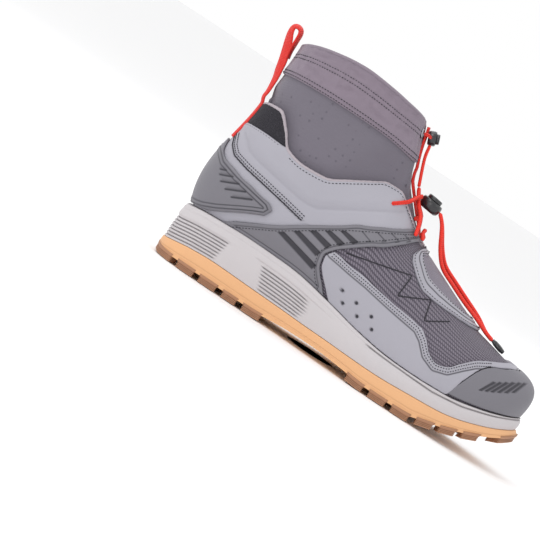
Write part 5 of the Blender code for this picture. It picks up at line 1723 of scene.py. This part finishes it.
def lace_pocket():
    """Frame: a ring of two bands with a sunk line between them; window: a thin domed net inside it."""
    angles = np.linspace(-math.pi, math.pi, 281)[:-1]
    outer = by_angle(pocket_ring(POCKET, POCKET_REAR, POCKET_FRONT, OUTLINE_POINTS), angles)
    inner = by_angle(pocket_ring(WINDOW, WINDOW_REAR, WINDOW_FRONT, OUTLINE_POINTS), angles)
    w = steps(36, 0.05)[None, :, None]
    flat = outer[:, None] * (1 - w) + inner[:, None] * w
    base = instep(flat[..., 0], flat[..., 1], 0.0)
    n = instep(flat[..., 0], flat[..., 1], 1.0) - base
    for _ in range(3):
        n[:, 1:-1] = (n[:, :-2] + 2 * n[:, 1:-1] + n[:, 2:]) / 4
        n = (np.roll(n, 1, 0) + 2 * n + np.roll(n, -1, 0)) / 4
    d_out = np.linalg.norm(flat - outer[:, None], axis=-1)
    d_in = np.linalg.norm(flat - inner[:, None], axis=-1)
    d = np.minimum(d_out, d_in)
    wide = d_out + d_in
    split = groove(np.abs(d_out - wide * 0.5), 1.5)
    raised = ease((d_out - wide * 0.5 + 0.4) / 0.8)
    height = 0.9 + 1.25 * rounded(d, 1.0) + 0.4 * raised * rounded(d_in, 1.0) - 0.45 * split
    outer_skin, inner_skin = base + n * height[..., None], base + n * 0.2
    points, faces = two_skins(outer_skin, inner_skin, True)
    # the mark is painted shade in the sunk line between the two bands
    mark = np.concatenate([0.9 * split.ravel(), np.zeros(split.size)])
    piece(
        "pocket_frame",
        points,
        faces,
        PALE,
        ["lace_pocket"],
        twice(runs(base)),
        mark,
        weld=0,
    )
    seams = []
    for share in (0.16, 0.78):
        j = int(share * 35)
        seams.append((base[:, j] + n[:, j] * (height[:, j] + 0.1)[:, None], n[:, j]))
    stitches("pocket_stitches", seams, THREAD_DARK, pitch=2.4, length=1.6, radius=0.3)
    # the window
    a = np.linspace(-math.pi, math.pi, 161)[:-1]
    rim = by_angle(pocket_ring(WINDOW, WINDOW_REAR, WINDOW_FRONT, OUTLINE_POINTS), a)
    w = np.linspace(0, 1, 26)[None, :, None]
    mid = np.stack([np.interp(rim[:, 0], [170, 222], [178, 214]), 0 * rim[:, 0]], -1)
    flat = (mid + (rim - mid) * 1.03)[:, None] * (1 - w) + mid[:, None] * w
    base = instep(flat[..., 0], flat[..., 1], 0.0)
    n = instep(flat[..., 0], flat[..., 1], 1.0) - base
    height = 1.25 + 0.5 * ease(w[..., 0] * 1.6) * np.ones(flat.shape[:2])
    points, faces = two_skins(base + n * height[..., None], base + n * (height - 0.7)[..., None], True)
    piece("pocket_net", points, faces, WINDOW_MESH, ["pocket_window"], twice(flat * MM))


lace_pocket()


# the sole unit

EDGE = [(0, 6.6), (1, 6.0), (2, 5.2), (4, 4.4), (8, 4.2), (12, 4.4), (15, 4.4), (18, 4.6), (20, 5.2)]
FLOOR_EDGE = [
    (0, 7.6), (1, 7.0), (2, 6.2), (4, 5.2), (8, 4.8), (12, 5.2), (15, 5.4), (17, 5.6), (18, 6.4),
    (19, 8.0), (20, 9.4),
]
LUG = 4.6  # how far the tread's blocks stand out
SOLE_INSET = 0.6  # the visible wall inside the named edge
SOLE_ROWS = np.unique(
    np.concatenate([np.linspace(0, 2, 30), np.linspace(2, 17, 150), np.linspace(17, 20, 44)])
)


def sole_body(name, rows, levels, look, nodes):
    """A body round the feather line: levels(k grid, share grid, x) gives how far out, how high and the mark.

    Strips from side to side close it above and below.
    """
    ks, shares = rows
    n, m, half = 2 * len(ks) - 2, len(shares), len(ks)
    grids, marks = [], []
    for side, order in ((LATERAL, ks), (MEDIAL, ks[-2:0:-1])):
        k, s = np.meshgrid(order, shares, indexing="ij")
        x = feather(k, side)[..., 0]
        out, high, mark = levels(k, s, x)
        q = ring(k, side, out)
        q[..., 2] = high(q[..., 0])
        grids.append(q)
        marks.append(mark)
    grid = np.concatenate(grids)
    uv = runs(grid)
    i = np.arange(1, half - 2)
    faces = [quads(n, m, True)]
    for j in (0, m - 1):
        faces.append(np.stack([i * m + j, (i + 1) * m + j, (n - i - 1) * m + j, (n - i) * m + j], -1))
        faces.append(
            np.array([[j, m + j, (n - 1) * m + j], [(half - 1) * m + j, (half - 2) * m + j, half * m + j]])
        )
    return piece(name, grid, faces, look, nodes, uv.reshape(-1, 2), np.concatenate(marks), weld=0)


FORE_GROOVE = [
    (168, 33.9), (173.6, 33.5), (200.3, 33.0), (226.7, 32.1), (250.6, 34.4), (272.6, 39.9), (293.2, 46.5)
]


FOAM_GAP = 0.3  # from the rubber's top up to the foam
FOAM_TOP = 3.3  # how far the foam's top edge lies outside the feather line
RIB_FROM, RIB_PITCH, RIB_COUNT = 0.07, 0.088, 6.5  # ribs of the foam, in shares of its height


def foam_levels(k, s, x):
    """The foam: in from the tread's edge to the feather line with a soft bulge; ribs, and a long groove."""
    edge = line_at(EDGE, k)
    base = edge - SOLE_INSET + (FOAM_TOP - edge + SOLE_INSET) * s**1.5 + 0.9 * np.sin(math.pi * s)
    heel_end = 50 - 6 * (1 - s)
    waist_start, waist_end = 70 + 12 * (1 - s), 124 - 10 * np.abs(s - 0.35)
    block = np.maximum(
        ease((heel_end - x) / 2.5), ease((x - waist_start) / 2.5) * ease((waist_end - x) / 8.0)
    )
    centre = (s - RIB_FROM) / RIB_PITCH
    band = (s > 0.03) & (s < RIB_FROM + RIB_COUNT * RIB_PITCH)
    rib = np.where(band, groove(np.abs(centre - np.round(centre)), 0.62), 0) * block
    low, top = line_at(OUTSOLE_TOP, x) + FOAM_GAP, line_at(MIDSOLE_TOP, x)
    z = low + (top - low) * s
    t = np.array(FORE_GROOVE)
    line = groove(np.abs(z - np.interp(x, t[:, 0], t[:, 1])), 2.0) * ease((x - 168) / 6.0)
    top_round = 0.9 * (1 - np.sqrt(np.clip(1 - np.clip((s - 0.965) / 0.035, 0, 1) ** 2, 0, 1)))
    lip = 0.35 * groove(np.abs(s - 0.9), 0.10)
    # the top swells out round the heel, and a ledge starts over the waist
    shoulder = ease((s - 0.62) / 0.08) * ease((60 - x) / 25.0)
    ledge = 0.9 * ease((s - 0.68) / 0.05) * ease((x - 66) / 6.0) * ease((150 - x) / 40.0)

    def high(at):
        """Height of each share at a place along the boot."""
        rubber = line_at(OUTSOLE_TOP, at)
        return rubber + FOAM_GAP + (line_at(MIDSOLE_TOP, at) - rubber - FOAM_GAP) * s

    out = base - 1.35 * rib - 0.9 * line - top_round + lip + (shoulder + ledge)
    # the mark is painted shade in the rib grooves and in the long groove
    return out, high, np.maximum(0.75 * rib, 0.85 * line)


FOAM_SHARES = np.unique(np.concatenate([np.linspace(0, 0.66, 72), np.linspace(0.66, 1.0, 26)]))
sole_body("foam_midsole", (SOLE_ROWS, FOAM_SHARES), foam_levels, FOAM, ["midsole"])


def rubber_levels(k, s, x):
    """Side wall of the rubber from tread to foam, its top edge rounded, with a step above the lugs."""
    out = (line_at(FLOOR_EDGE, k) - SOLE_INSET) * (1 - s) + line_at(EDGE, k) * s
    top = 1.1 * (1 - np.sqrt(np.clip(1 - np.clip((s - 0.9) / 0.1, 0, 1) ** 2, 0, 1)))
    step = 0.5 * ease((0.30 - s) / 0.08) * 0.6
    line = groove(np.abs(s - 0.36), 0.09)


    def high(at):
        """Height of each share at a place along the boot."""
        return (tread_at(at) + LUG) * (1 - s) + line_at(OUTSOLE_TOP, at) * s

    # the mark is painted shade in the sunk line along the wall
    return out - top - step - 0.35 * line, high, 0.3 * line


RUBBER_SHARES = np.unique(
    np.concatenate([[0, 0.01, 0.03], np.linspace(0.05, 0.88, 22), np.linspace(0.9, 1.0, 8)])
)


EDGE_LUGS = [
    (5, 19.4), (24.2, 37.4), (42.2, 56.8), (62.2, 74.4), (79.6, 95.4), (170.6, 185.3), (190.2, 204.3),
    (209.2, 223.3), (228.2, 240.3), (245.2, 256.4), (261, 271.4),
]
HEX = [(-9.5, 0), (-5, -7.5), (5, -7.5), (9.5, 0), (5, 7.5), (-5, 7.5)]


def row_at(x, side):
    """The row whose feather point lies at x, behind the toe's turn."""
    ks = np.linspace(0.3, 19.8, 600)
    return np.interp(x, feather(ks, side)[..., 0], ks)


def lug_outlines():
    """Plan outlines of every tread block: along both sides, two round the toe, six-sided and slanted ones."""
    found = []
    for side in SPAN:
        for i, (x0, x1) in enumerate(EDGE_LUGS):
            k0, k1 = row_at(x0, side), row_at(x1, side)
            ks = np.linspace(k0, k1, 9)
            outer = ring(ks, side, line_at(FLOOR_EDGE, ks) - 0.9)[:, :2]
            deep = 15.0 if i % 2 else 11.5
            ends = np.array([k1, k0])
            inner = ring(ends, side, line_at(FLOOR_EDGE, ends) - deep)[:, :2]
            inner[0, 0] -= 1.5
            inner[1, 0] += 1.5
            found.append(np.concatenate([outer, inner]))
        ks = np.linspace(18.75, 19.88, 7)
        outer = ring(ks, side, line_at(FLOOR_EDGE, ks) - 1.2)[:, :2]
        inner = ring(ks[::-1], side, line_at(FLOOR_EDGE, ks[::-1]) - 12.0)[:, :2]
        found.append(np.concatenate([outer, inner[[0, -1]]]))
    for x, share in ((HEEL_X, 1.0), (62, 0.8), (83, 0.8)):
        found.append(np.array([(x + a * share, b * share) for a, b in HEX]))
    for x, reach in zip((181, 199, 217, 235, 252), (24, 25, 24, 21, 15)):
        for y in (-1, 1):
            found.append(
                np.array([(x - 6, y * 2.5), (x + 3, y * 2.5), (x + 7.5, y * reach), (x - 1.5, y * reach)])
            )
    found.append(np.array([(266, -7), (272, 0), (266, 7), (259.5, 5), (259.5, -5)]))
    return found


def tread_blocks():
    """Each block is its outline carried up from the floor, drawn in at the foot and spread at the root."""
    # how far in and how high each ring of a block lies: a rounded foot, three sunk ribs and the root
    inset = [
        1.1, 0.55, 0.2, 0.0, 0.0, 0.45, 0.45, 0.0, 0.0, 0.45, 0.45, 0.0, 0.0, 0.4, 0.4, -0.1, -0.35, -0.9
    ]
    up = [
        0.0, 0.06, 0.3, 0.6, 1.0, 1.15, 1.5, 1.65, 2.1, 2.25, 2.6, 2.75, 3.2, 3.35, 3.7, 3.85, LUG,
        LUG + 1.6,
    ]
    inset, up = np.array(inset), np.array(up)
    rungs = len(inset)
    points, faces, marks, uvs, start = [], [], [], [], 0
    for outline in lug_outlines():
        loop = dense(np.concatenate([outline, outline[:1]]), 1.6)[:-1]
        middle = loop.mean(0)
        d = middle - loop
        d = unit(d)
        m = len(loop)
        flat = loop[None] + d[None] * inset[:, None, None]
        z = tread_at(flat[..., 0]) + up[:, None]
        # the foot has a sunk middle ring and a cap at the same height as its rim
        cap = loop + d * (np.linalg.norm(middle - loop, axis=1, keepdims=True) * 0.5)
        cap_z = tread_at(cap[:, 0]) + 0.55
        centre = np.concatenate([cap, cap_z[:, None]], 1)
        grid = np.concatenate([centre[None], np.concatenate([flat, z[..., None]], -1)])
        points.append(grid.reshape(-1, 3))
        faces.append(start + quads(rungs + 1, m, False, True))
        faces += [start + np.arange(m)[::-1][None], start + rungs * m + np.arange(m)[None]]
        # painted shade: each block's underside a little darker, the sunk ribs on its sides darker still
        marks.append(np.repeat(np.concatenate([[0.35], 1.3 * np.clip(inset, 0, 0.5) * (up > 0.8)]), m))
        uvs.append(np.zeros(((rungs + 1) * m, 2)))
        start += (rungs + 1) * m
    return np.concatenate(points), faces, np.concatenate(marks), np.concatenate(uvs)


def rubber_outsole():
    """The rubber: its plate, and its blocks in the same piece."""
    sole_body("rubber_plate", (SOLE_ROWS, RUBBER_SHARES), rubber_levels, GUM, ["outsole"])
    points, faces, marks, uvs = tread_blocks()
    # the blocks are the same gum as the plate, painted darker as painted shade
    piece("tread_lugs", points, faces, SHADED_TREAD_GUM, (), uvs, marks, weld=0)


rubber_outsole()


# the footbed inside the feather line, over the midsole's top, and thick
FOOTBED_IN, FOOTBED_UP, FOOTBED_THICK = 9.4, 3.9, 3.0


def footbed_levels(k, s, x):
    """The loose footbed: a plate with a bulging edge, a little higher at the toe."""

    def high(at):
        """Height of each share at a place along the boot."""
        return line_at(MIDSOLE_TOP, at) + FOOTBED_UP + FOOTBED_THICK * s + ease((at - 250.0) / 30.0)

    return -FOOTBED_IN + 0.5 * np.sin(math.pi * s), high, np.zeros(k.shape)


FOOTBED_ROWS = (np.linspace(0, LAST_ROW, 90), np.array([0, 0.2, 0.5, 0.8, 1.0]))
sole_body("footbed", FOOTBED_ROWS, footbed_levels, LINING, ["insole"])


# the cuff

CUFF_SEAM = [
    (6, 158.5), (20, 161.6), (35.5, 162.9), (58.7, 163.6), (77, 163.6), (99, 162.8), (112, 161.2),
    (124, 159.0),
]
CUFF_ROWS = np.unique(
    np.concatenate([np.linspace(0, 4, 30), np.linspace(4, 9, 40), np.linspace(9, 12.2, 46)])
)


CUFF_KEYS = np.linspace(0, 12.2, 123)
CUFF_LOW = share_at_height(bootie_raw, CUFF_KEYS, LATERAL, CUFF_SEAM, np.linspace(0.5, 1.0, 90), 0.985)


def cuff_face(k, side, v):
    """The cuff's outer face: the bootie's own, moved out, gathered in folds, its lower edge turned in."""
    low = np.interp(k, CUFF_KEYS, CUFF_LOW)
    p, n = bootie_face(k, side, low + (1 - low) * v)
    folds = 0.4 * np.sin(k * 9.0 + 1.3 * np.sin(k * 3.1) + side) * ease((v - 0.1) / 0.3)
    folds = folds * (0.4 + 0.6 * np.sin(math.pi * np.clip(v, 0, 1)))
    casing = (
        groove(np.abs(v - 0.56), 0.08) + groove(np.abs(v - 0.66), 0.06) + groove(np.abs(v - 0.10), 0.06)
    )
    gathered = groove(np.abs(v - 0.58), 0.5) + 0.5 * groove(np.abs(v - 1.0), 0.4)
    pleats = 0.22 * np.sin(k * 31 + 2.2 * np.sin(k * 5.3) + 2 * side) * gathered
    low_fold = 1.1 * groove(np.abs(v - 0.33 - 0.08 * np.sin(k * 1.7 + side)), 0.24)
    high_fold = 0.8 * groove(np.abs(v - 0.83 - 0.05 * np.sin(k * 2.3)), 0.18)
    long_fold = (low_fold + high_fold) * ease((k - 0.6) / 1.5) * ease((11.2 - k) / 1.5)
    long_fold = long_fold * (0.6 + 0.4 * np.sin(k * 2.9 + 1.0))
    lift = 0.7 + 1.45 * rounded(v * 30.0, 1.6) + folds + pleats - 0.4 * casing - long_fold
    return p + n * lift[..., None], n


CUFF_SHARES = np.unique(np.concatenate([[0, 0.01, 0.025, 0.05], np.linspace(0.07, 1, 40)]))
hollow(
    "cuff_band", cuff_face, CUFF_ROWS, CUFF_SHARES, CUFF_WALL, BOOTIE_CREST, CUFF, ["cuff"]
)


RIM_WIDE, RIM_HIGH = 2.35, 1.9  # half sizes of the rolled top's section


def cuff_rim():
    """The cuff's rolled top: a closed tube round the bootie's edge, wider than it is high."""
    stop, count, around = BOOTIE_CREST, 120, 18
    rows = np.concatenate([np.linspace(stop, 0, count), np.linspace(0, stop, count)[1:-1]])
    sides = np.where(np.arange(len(rows)) < count, LATERAL, MEDIAL)
    line, normal = np.zeros((len(rows), 3)), np.zeros((len(rows), 3))
    for side in SPAN:
        pick = sides == side
        line[pick], normal[pick] = bootie_face(rows[pick], side, np.ones(pick.sum()))
    normal[:, 2] *= 0.2
    for _ in range(8):
        normal = (np.roll(normal, 1, 0) + 2 * normal + np.roll(normal, -1, 0)) / 4
        line = (np.roll(line, 1, 0) + 2 * line + np.roll(line, -1, 0)) / 4
    normal = unit(normal)
    up = np.broadcast_to(np.array([0, 0, 1.0]), line.shape)
    g = turn(around)
    centre = line + normal * 0.1 - up * 0.6
    out = RIM_WIDE * np.cos(g)[None, :, None] * normal[:, None]
    grid = centre[:, None] + out + RIM_HIGH * np.sin(g)[None, :, None] * up[:, None]
    piece(
        "cuff_rim", grid, [quads(len(rows), around, True, True)], CUFF, uv=runs(grid), weld=0
    )


cuff_rim()


def cuff_stitches():
    """Stitch rows at the seam and under the casing."""
    count, seams = 260, []
    for side in SPAN:
        for v in (0.04, 0.13, 0.56, 0.665):
            stop = 11.6 if v < 0.5 else 10.9
            q, n = cuff_face(np.linspace(0.05, stop, count), side, np.full(count, v))
            seams.append((q + n * 0.12, n))
    stitches("cuff_stitches", seams, THREAD_DARK, pitch=2.3, length=1.6, radius=0.3)


cuff_stitches()


# webbing

TAPE_WIDE, TAPE_THICK = 11.2, 1.5


def webbing(name, line, lift, bulge, nodes, twist=0.0):
    """A flat woven strip along a line in the middle plane, its under face lift above it.

    It sags sideways by y squared over twice the bulge radius, and is turned by twist, in degrees.
    """
    q = np.array(line, float)
    run = run_along(q)
    at = np.linspace(0, run[-1], int(run[-1] / 0.9))
    lift = np.interp(at, run, np.broadcast_to(np.asarray(lift, float), len(q)))
    turn = np.radians(np.interp(at, run, np.broadcast_to(np.asarray(twist, float), len(q))))[:, None]
    q = through(run, q, at)
    for _ in range(3):
        q[1:-1] = (q[:-2] + 2 * q[1:-1] + q[2:]) / 4
    d = np.gradient(q, axis=0)
    d = unit(d)
    nrm = np.stack([d[:, 1], -d[:, 0]], -1)
    v = steps(17, 0.06)
    ys = (v - 0.5) * TAPE_WIDE
    edge = rounded(np.minimum(v, 1 - v) * TAPE_WIDE, 0.6)
    skins = []
    for part in (0.5 + 0.5 * edge, 0.5 - 0.5 * edge):
        high = TAPE_THICK * part[None, :] - (ys**2 / (2 * bulge))[None, :]
        off = lift[:, None] + high * np.cos(turn) + ys * np.sin(turn)
        c = q[:, None] + nrm[:, None] * off[..., None]
        skins.append(np.stack([c[..., 0], ys * np.cos(turn) - high * np.sin(turn), c[..., 1]], -1))
    points, faces = two_skins(*skins)
    uv = np.stack(np.meshgrid(at * MM, ys * MM, indexing="ij"), -1)
    rail = 0.35 * groove(np.abs(np.abs(ys) - TAPE_WIDE * 0.36), 0.9)
    mark = np.broadcast_to(rail, (len(at), len(ys))).ravel()
    return piece(name, points, faces, TAPE, nodes, twice(uv), np.concatenate([mark, mark]))


FRONT_ROWS = np.array(
    [14.5, 14.3, 14.15, 14.0, 13.75, 13.5, 13.25, 13, 12.75, 12.5, 12.25, 12, 11.75, 11.5, 11.08]
)
crest_line = bootie_raw(FRONT_ROWS, LATERAL, np.ones(len(FRONT_ROWS)))
# it lies over the cuff above row 12.75, and on the bootie below row 13.2
front_lift = np.interp(FRONT_ROWS, [12.75, 13.2], [4.2, 1.8])
webbing("front_tape", crest_line[:, [0, 2]], front_lift, 14.0, ["front_webbing"])
LOOP = [
    (6.9, 138.4), (7.4, 142), (7.1, 148), (6.6, 154), (5.4, 160), (4.4, 166), (2.3, 174), (-0.4, 182),
    (-2.6, 188.6), (-2.9, 192), (-0.8, 194), (2.4, 193.2), (3.8, 190), (4.0, 184), (4.3, 177),
    (5.4, 170.5),
]
heel_shares = np.linspace(0.5, 1.0, 60)
heel_back = upper_at(np.zeros(60), LATERAL, heel_shares, 0.35)
heel_heights = np.array([100.5, 106, 112, 118, 124, 129, 133])
heel_line = list(zip(np.interp(heel_heights, heel_back[:, 2], heel_back[:, 0]), heel_heights))
LOOP_TWIST = [9, 11, 16, 22, 29, 34, 36, 32, 22, 18, 14, 12, 10, 9, 7, 5]
webbing(
    "heel_loop", (heel_line + LOOP)[::-1], 0.45, 16.0, ["pull_loop"],
    ([8] * len(heel_line) + LOOP_TWIST)[::-1],
)


# locks, clip and eyelets

BIG, BIG_AXIS = (153.0, 0.0, 141.2), (0.12, 0.0, 0.99)
SMALL, SMALL_AXIS = (126.8, 0.0, 180.6), (0.93, 0.0, 0.37)
turned(
    "lock_body",
    BIG,
    BIG_AXIS,
    [
        (-5.2, 0.0), (-5.2, 6.2), (-5.0, 6.7), (-4.3, 7.6), (-3.2, 8.2), (-1.0, 8.55), (1.0, 8.55),
        (2.2, 8.3), (2.9, 7.9), (3.2, 7.3), (3.2, 6.6), (2.4, 6.4), (2.4, 0.0),
    ],
    PLASTIC,
    ["cord_lock_body"],
)
turned(
    "lock_button",
    BIG,
    BIG_AXIS,
    [(2.0, 0.0), (2.0, 5.9), (5.2, 5.9), (5.9, 5.6), (6.2, 5.0), (6.2, 3.4), (5.7, 2.9), (5.6, 0.0)],
    PLASTIC,
    ["cord_lock_button"],
)
turned(
    "small_lock_body",
    SMALL,
    SMALL_AXIS,
    [
        (-3.0, 0.0), (-3.0, 4.3), (-2.7, 4.9), (-2.0, 5.5), (0.0, 5.65), (1.8, 5.6), (2.7, 5.3),
        (3.0, 4.8), (3.0, 4.3), (2.4, 4.2), (2.4, 0.0),
    ],
    PLASTIC,
    ["cuff_lock_body"],
)
turned(
    "small_lock_button",
    SMALL,
    SMALL_AXIS,
    [(2.0, 0.0), (2.0, 3.9), (4.8, 3.9), (5.4, 3.7), (5.6, 3.2), (5.6, 2.2), (5.2, 1.9), (5.2, 0.0)],
    PLASTIC,
    ["cuff_lock_button"],
)

EYELET = [
    (0.0, 1.7), (0.0, 3.6), (0.35, 3.6), (0.75, 3.3), (1.0, 2.8), (1.0, 2.3), (0.8, 1.9), (0.45, 1.7),
    (0.0, 1.7),
]
SIDES = list(zip(SPAN, ("lateral", "medial")))


def eyelet_spot(side):
    """The bootie's face under a cuff eyelet, and its normal."""
    q, n = bootie_face(np.array([10.35]), side, np.array([0.925]))
    return q[0], n[0]


for side, word in SIDES:
    spot, out = eyelet_spot(side)
    turned("eyelet_" + word, spot + out * 2.5, out, EYELET, METAL, ["cuff_eyelet_" + word])


def end_clip():
    """The flat clip that holds both lace ends: a flattened oval section that swells in the middle."""
    a, b = (instep(np.array([x]), np.array([0.0]), 3.0)[0] for x in (246.2, 257.0))
    along = (b - a) / np.linalg.norm(b - a)
    up = np.array([-along[2], 0.0, along[0]])
    t = np.array([-1.5, -1.2, -0.5, 1.6, 2.0, 2.2, 2.6, 5, 7.6, 8.0, 8.4, 9.4, 10.2, 10.5, 10.6])
    keys = np.array([0, 0.25, 0.8, 1.6, 2.0, 2.2, 2.6, 5, 7.6, 8.0, 8.4, 9.4, 10.2, 10.5, 10.6])
    wide = np.interp(t, keys, [3.4, 3.9, 4.4, 4.8, 4.5, 4.5, 4.85, 4.9, 4.7, 4.3, 4.3, 4.0, 3.5, 3.2, 2.8])
    high = wide / 4.9 * 2.1
    around, n = 28, len(t)
    g = turn(around)
    cy, cz = (np.sign(c) * np.abs(c) ** 0.6 for c in (np.cos(g), np.sin(g)))
    sideways = wide[:, None, None] * cy[None, :, None] * np.array([0, 1.0, 0])
    grid = a + along * t[:, None, None] + sideways + high[:, None, None] * cz[None, :, None] * up
    caps = [np.arange(around)[::-1][None], ((n - 1) * around + np.arange(around))[None]]
    return piece(
        "end_clip",
        grid,
        [quads(n, around, False, True)] + caps,
        PLASTIC,
        ["lace_end_clip"],
        weld=0,
    )


clip = end_clip()
for tail, metres, length in lace_tails:
    tuple(metres[0])


# the laces that stay in place and the drawcord

GAP = CORD_R + 0.35  # from a cord's middle line to what it lies on
ACROSS = (1, 0, 0.1)  # what the cross directions of laces lean on that run from side to side


def fixed_cord(name, points, radius, up):
    """A cord that stays in place, over the solid of the same name."""
    rope(name + "_braid", smooth_line(points, 0.8), radius, up, CORD, nodes=[name])


for side, word in SIDES:
    hole, _ = upper_point(128.6, 124.4, side, GAP + 0.25)
    edge, lean = upper_point(136.5, 131.2, side, 3.0)
    over_edge = [hole, (edge + hole) / 2 + lean * 0.5, edge + np.array([0.8, 0, 1.4])]
    fixed_cord(
        "lace_run_" + word,
        over_edge + [(141.8, side * 13.2, 139.6), (144.6, side * 8.8, 142.4)],
        CORD_R,
        (0, 0.2, 1),
    )
strap_hole, _ = upper_point(154.0, 113.8, LATERAL, 2.3 + GAP + 0.25)
climb = [
    (154.0, -23.8, 123.6),
    (151.0, -17.6, 130.2),
    (146.6, -12.4, 134.4),
    (142.4, -8.2, 140.0),
    (139.6, -3.8, 144.2),
]
fixed_cord("lace_over", mirrored([strap_hole] + climb + [(139.2, 0.0, 145.0)]), CORD_R, ACROSS)
inner_bar = [(148.6, -16.6, 125.6), (150.4, -12.6, 127.8), (151.4, -7.0, 129.6), (151.6, 0, 130.2)]
fixed_cord("lace_bar_inner", mirrored(inner_bar), CORD_R, ACROSS)
base_hole, _ = upper_point(159.6, 114.2, LATERAL, 2.3 + GAP + 0.3)
base_bar = [(159.5, -14.6, 120.6), (159.5, -9.0, 122.8), (159.6, -5.0, 122.8), (159.8, 0, 123.2)]
fixed_cord("lace_bar_base", mirrored([base_hole] + base_bar), CORD_R, ACROSS)
for side, word in SIDES:
    spot, out = eyelet_spot(side)
    away = spot + out * 5.4
    bend = [spot + out * 3.6, away, away + np.array([2.6, -side * 1.4, 0.4])]
    fixed_cord(
        "drawcord_top_" + word,
        bend + [(124.6, side * 8.4, 180.6), (126.4, side * 6.4, 180.4)],
        DRAW_R,
        (0, 0, 1),
    )
    hang = [
        (128.2, 3.0, 175.9),
        (129.6, 3.2, 168.0),
        (133.2, 3.3, 158.0),
        (136.6, 3.3, 150.0),
        (138.3, 3.3, 145.9),
    ]
    fixed_cord("drawcord_" + word, [(x, side * y, z) for x, y, z in hang], DRAW_R, (0, 1, 0))
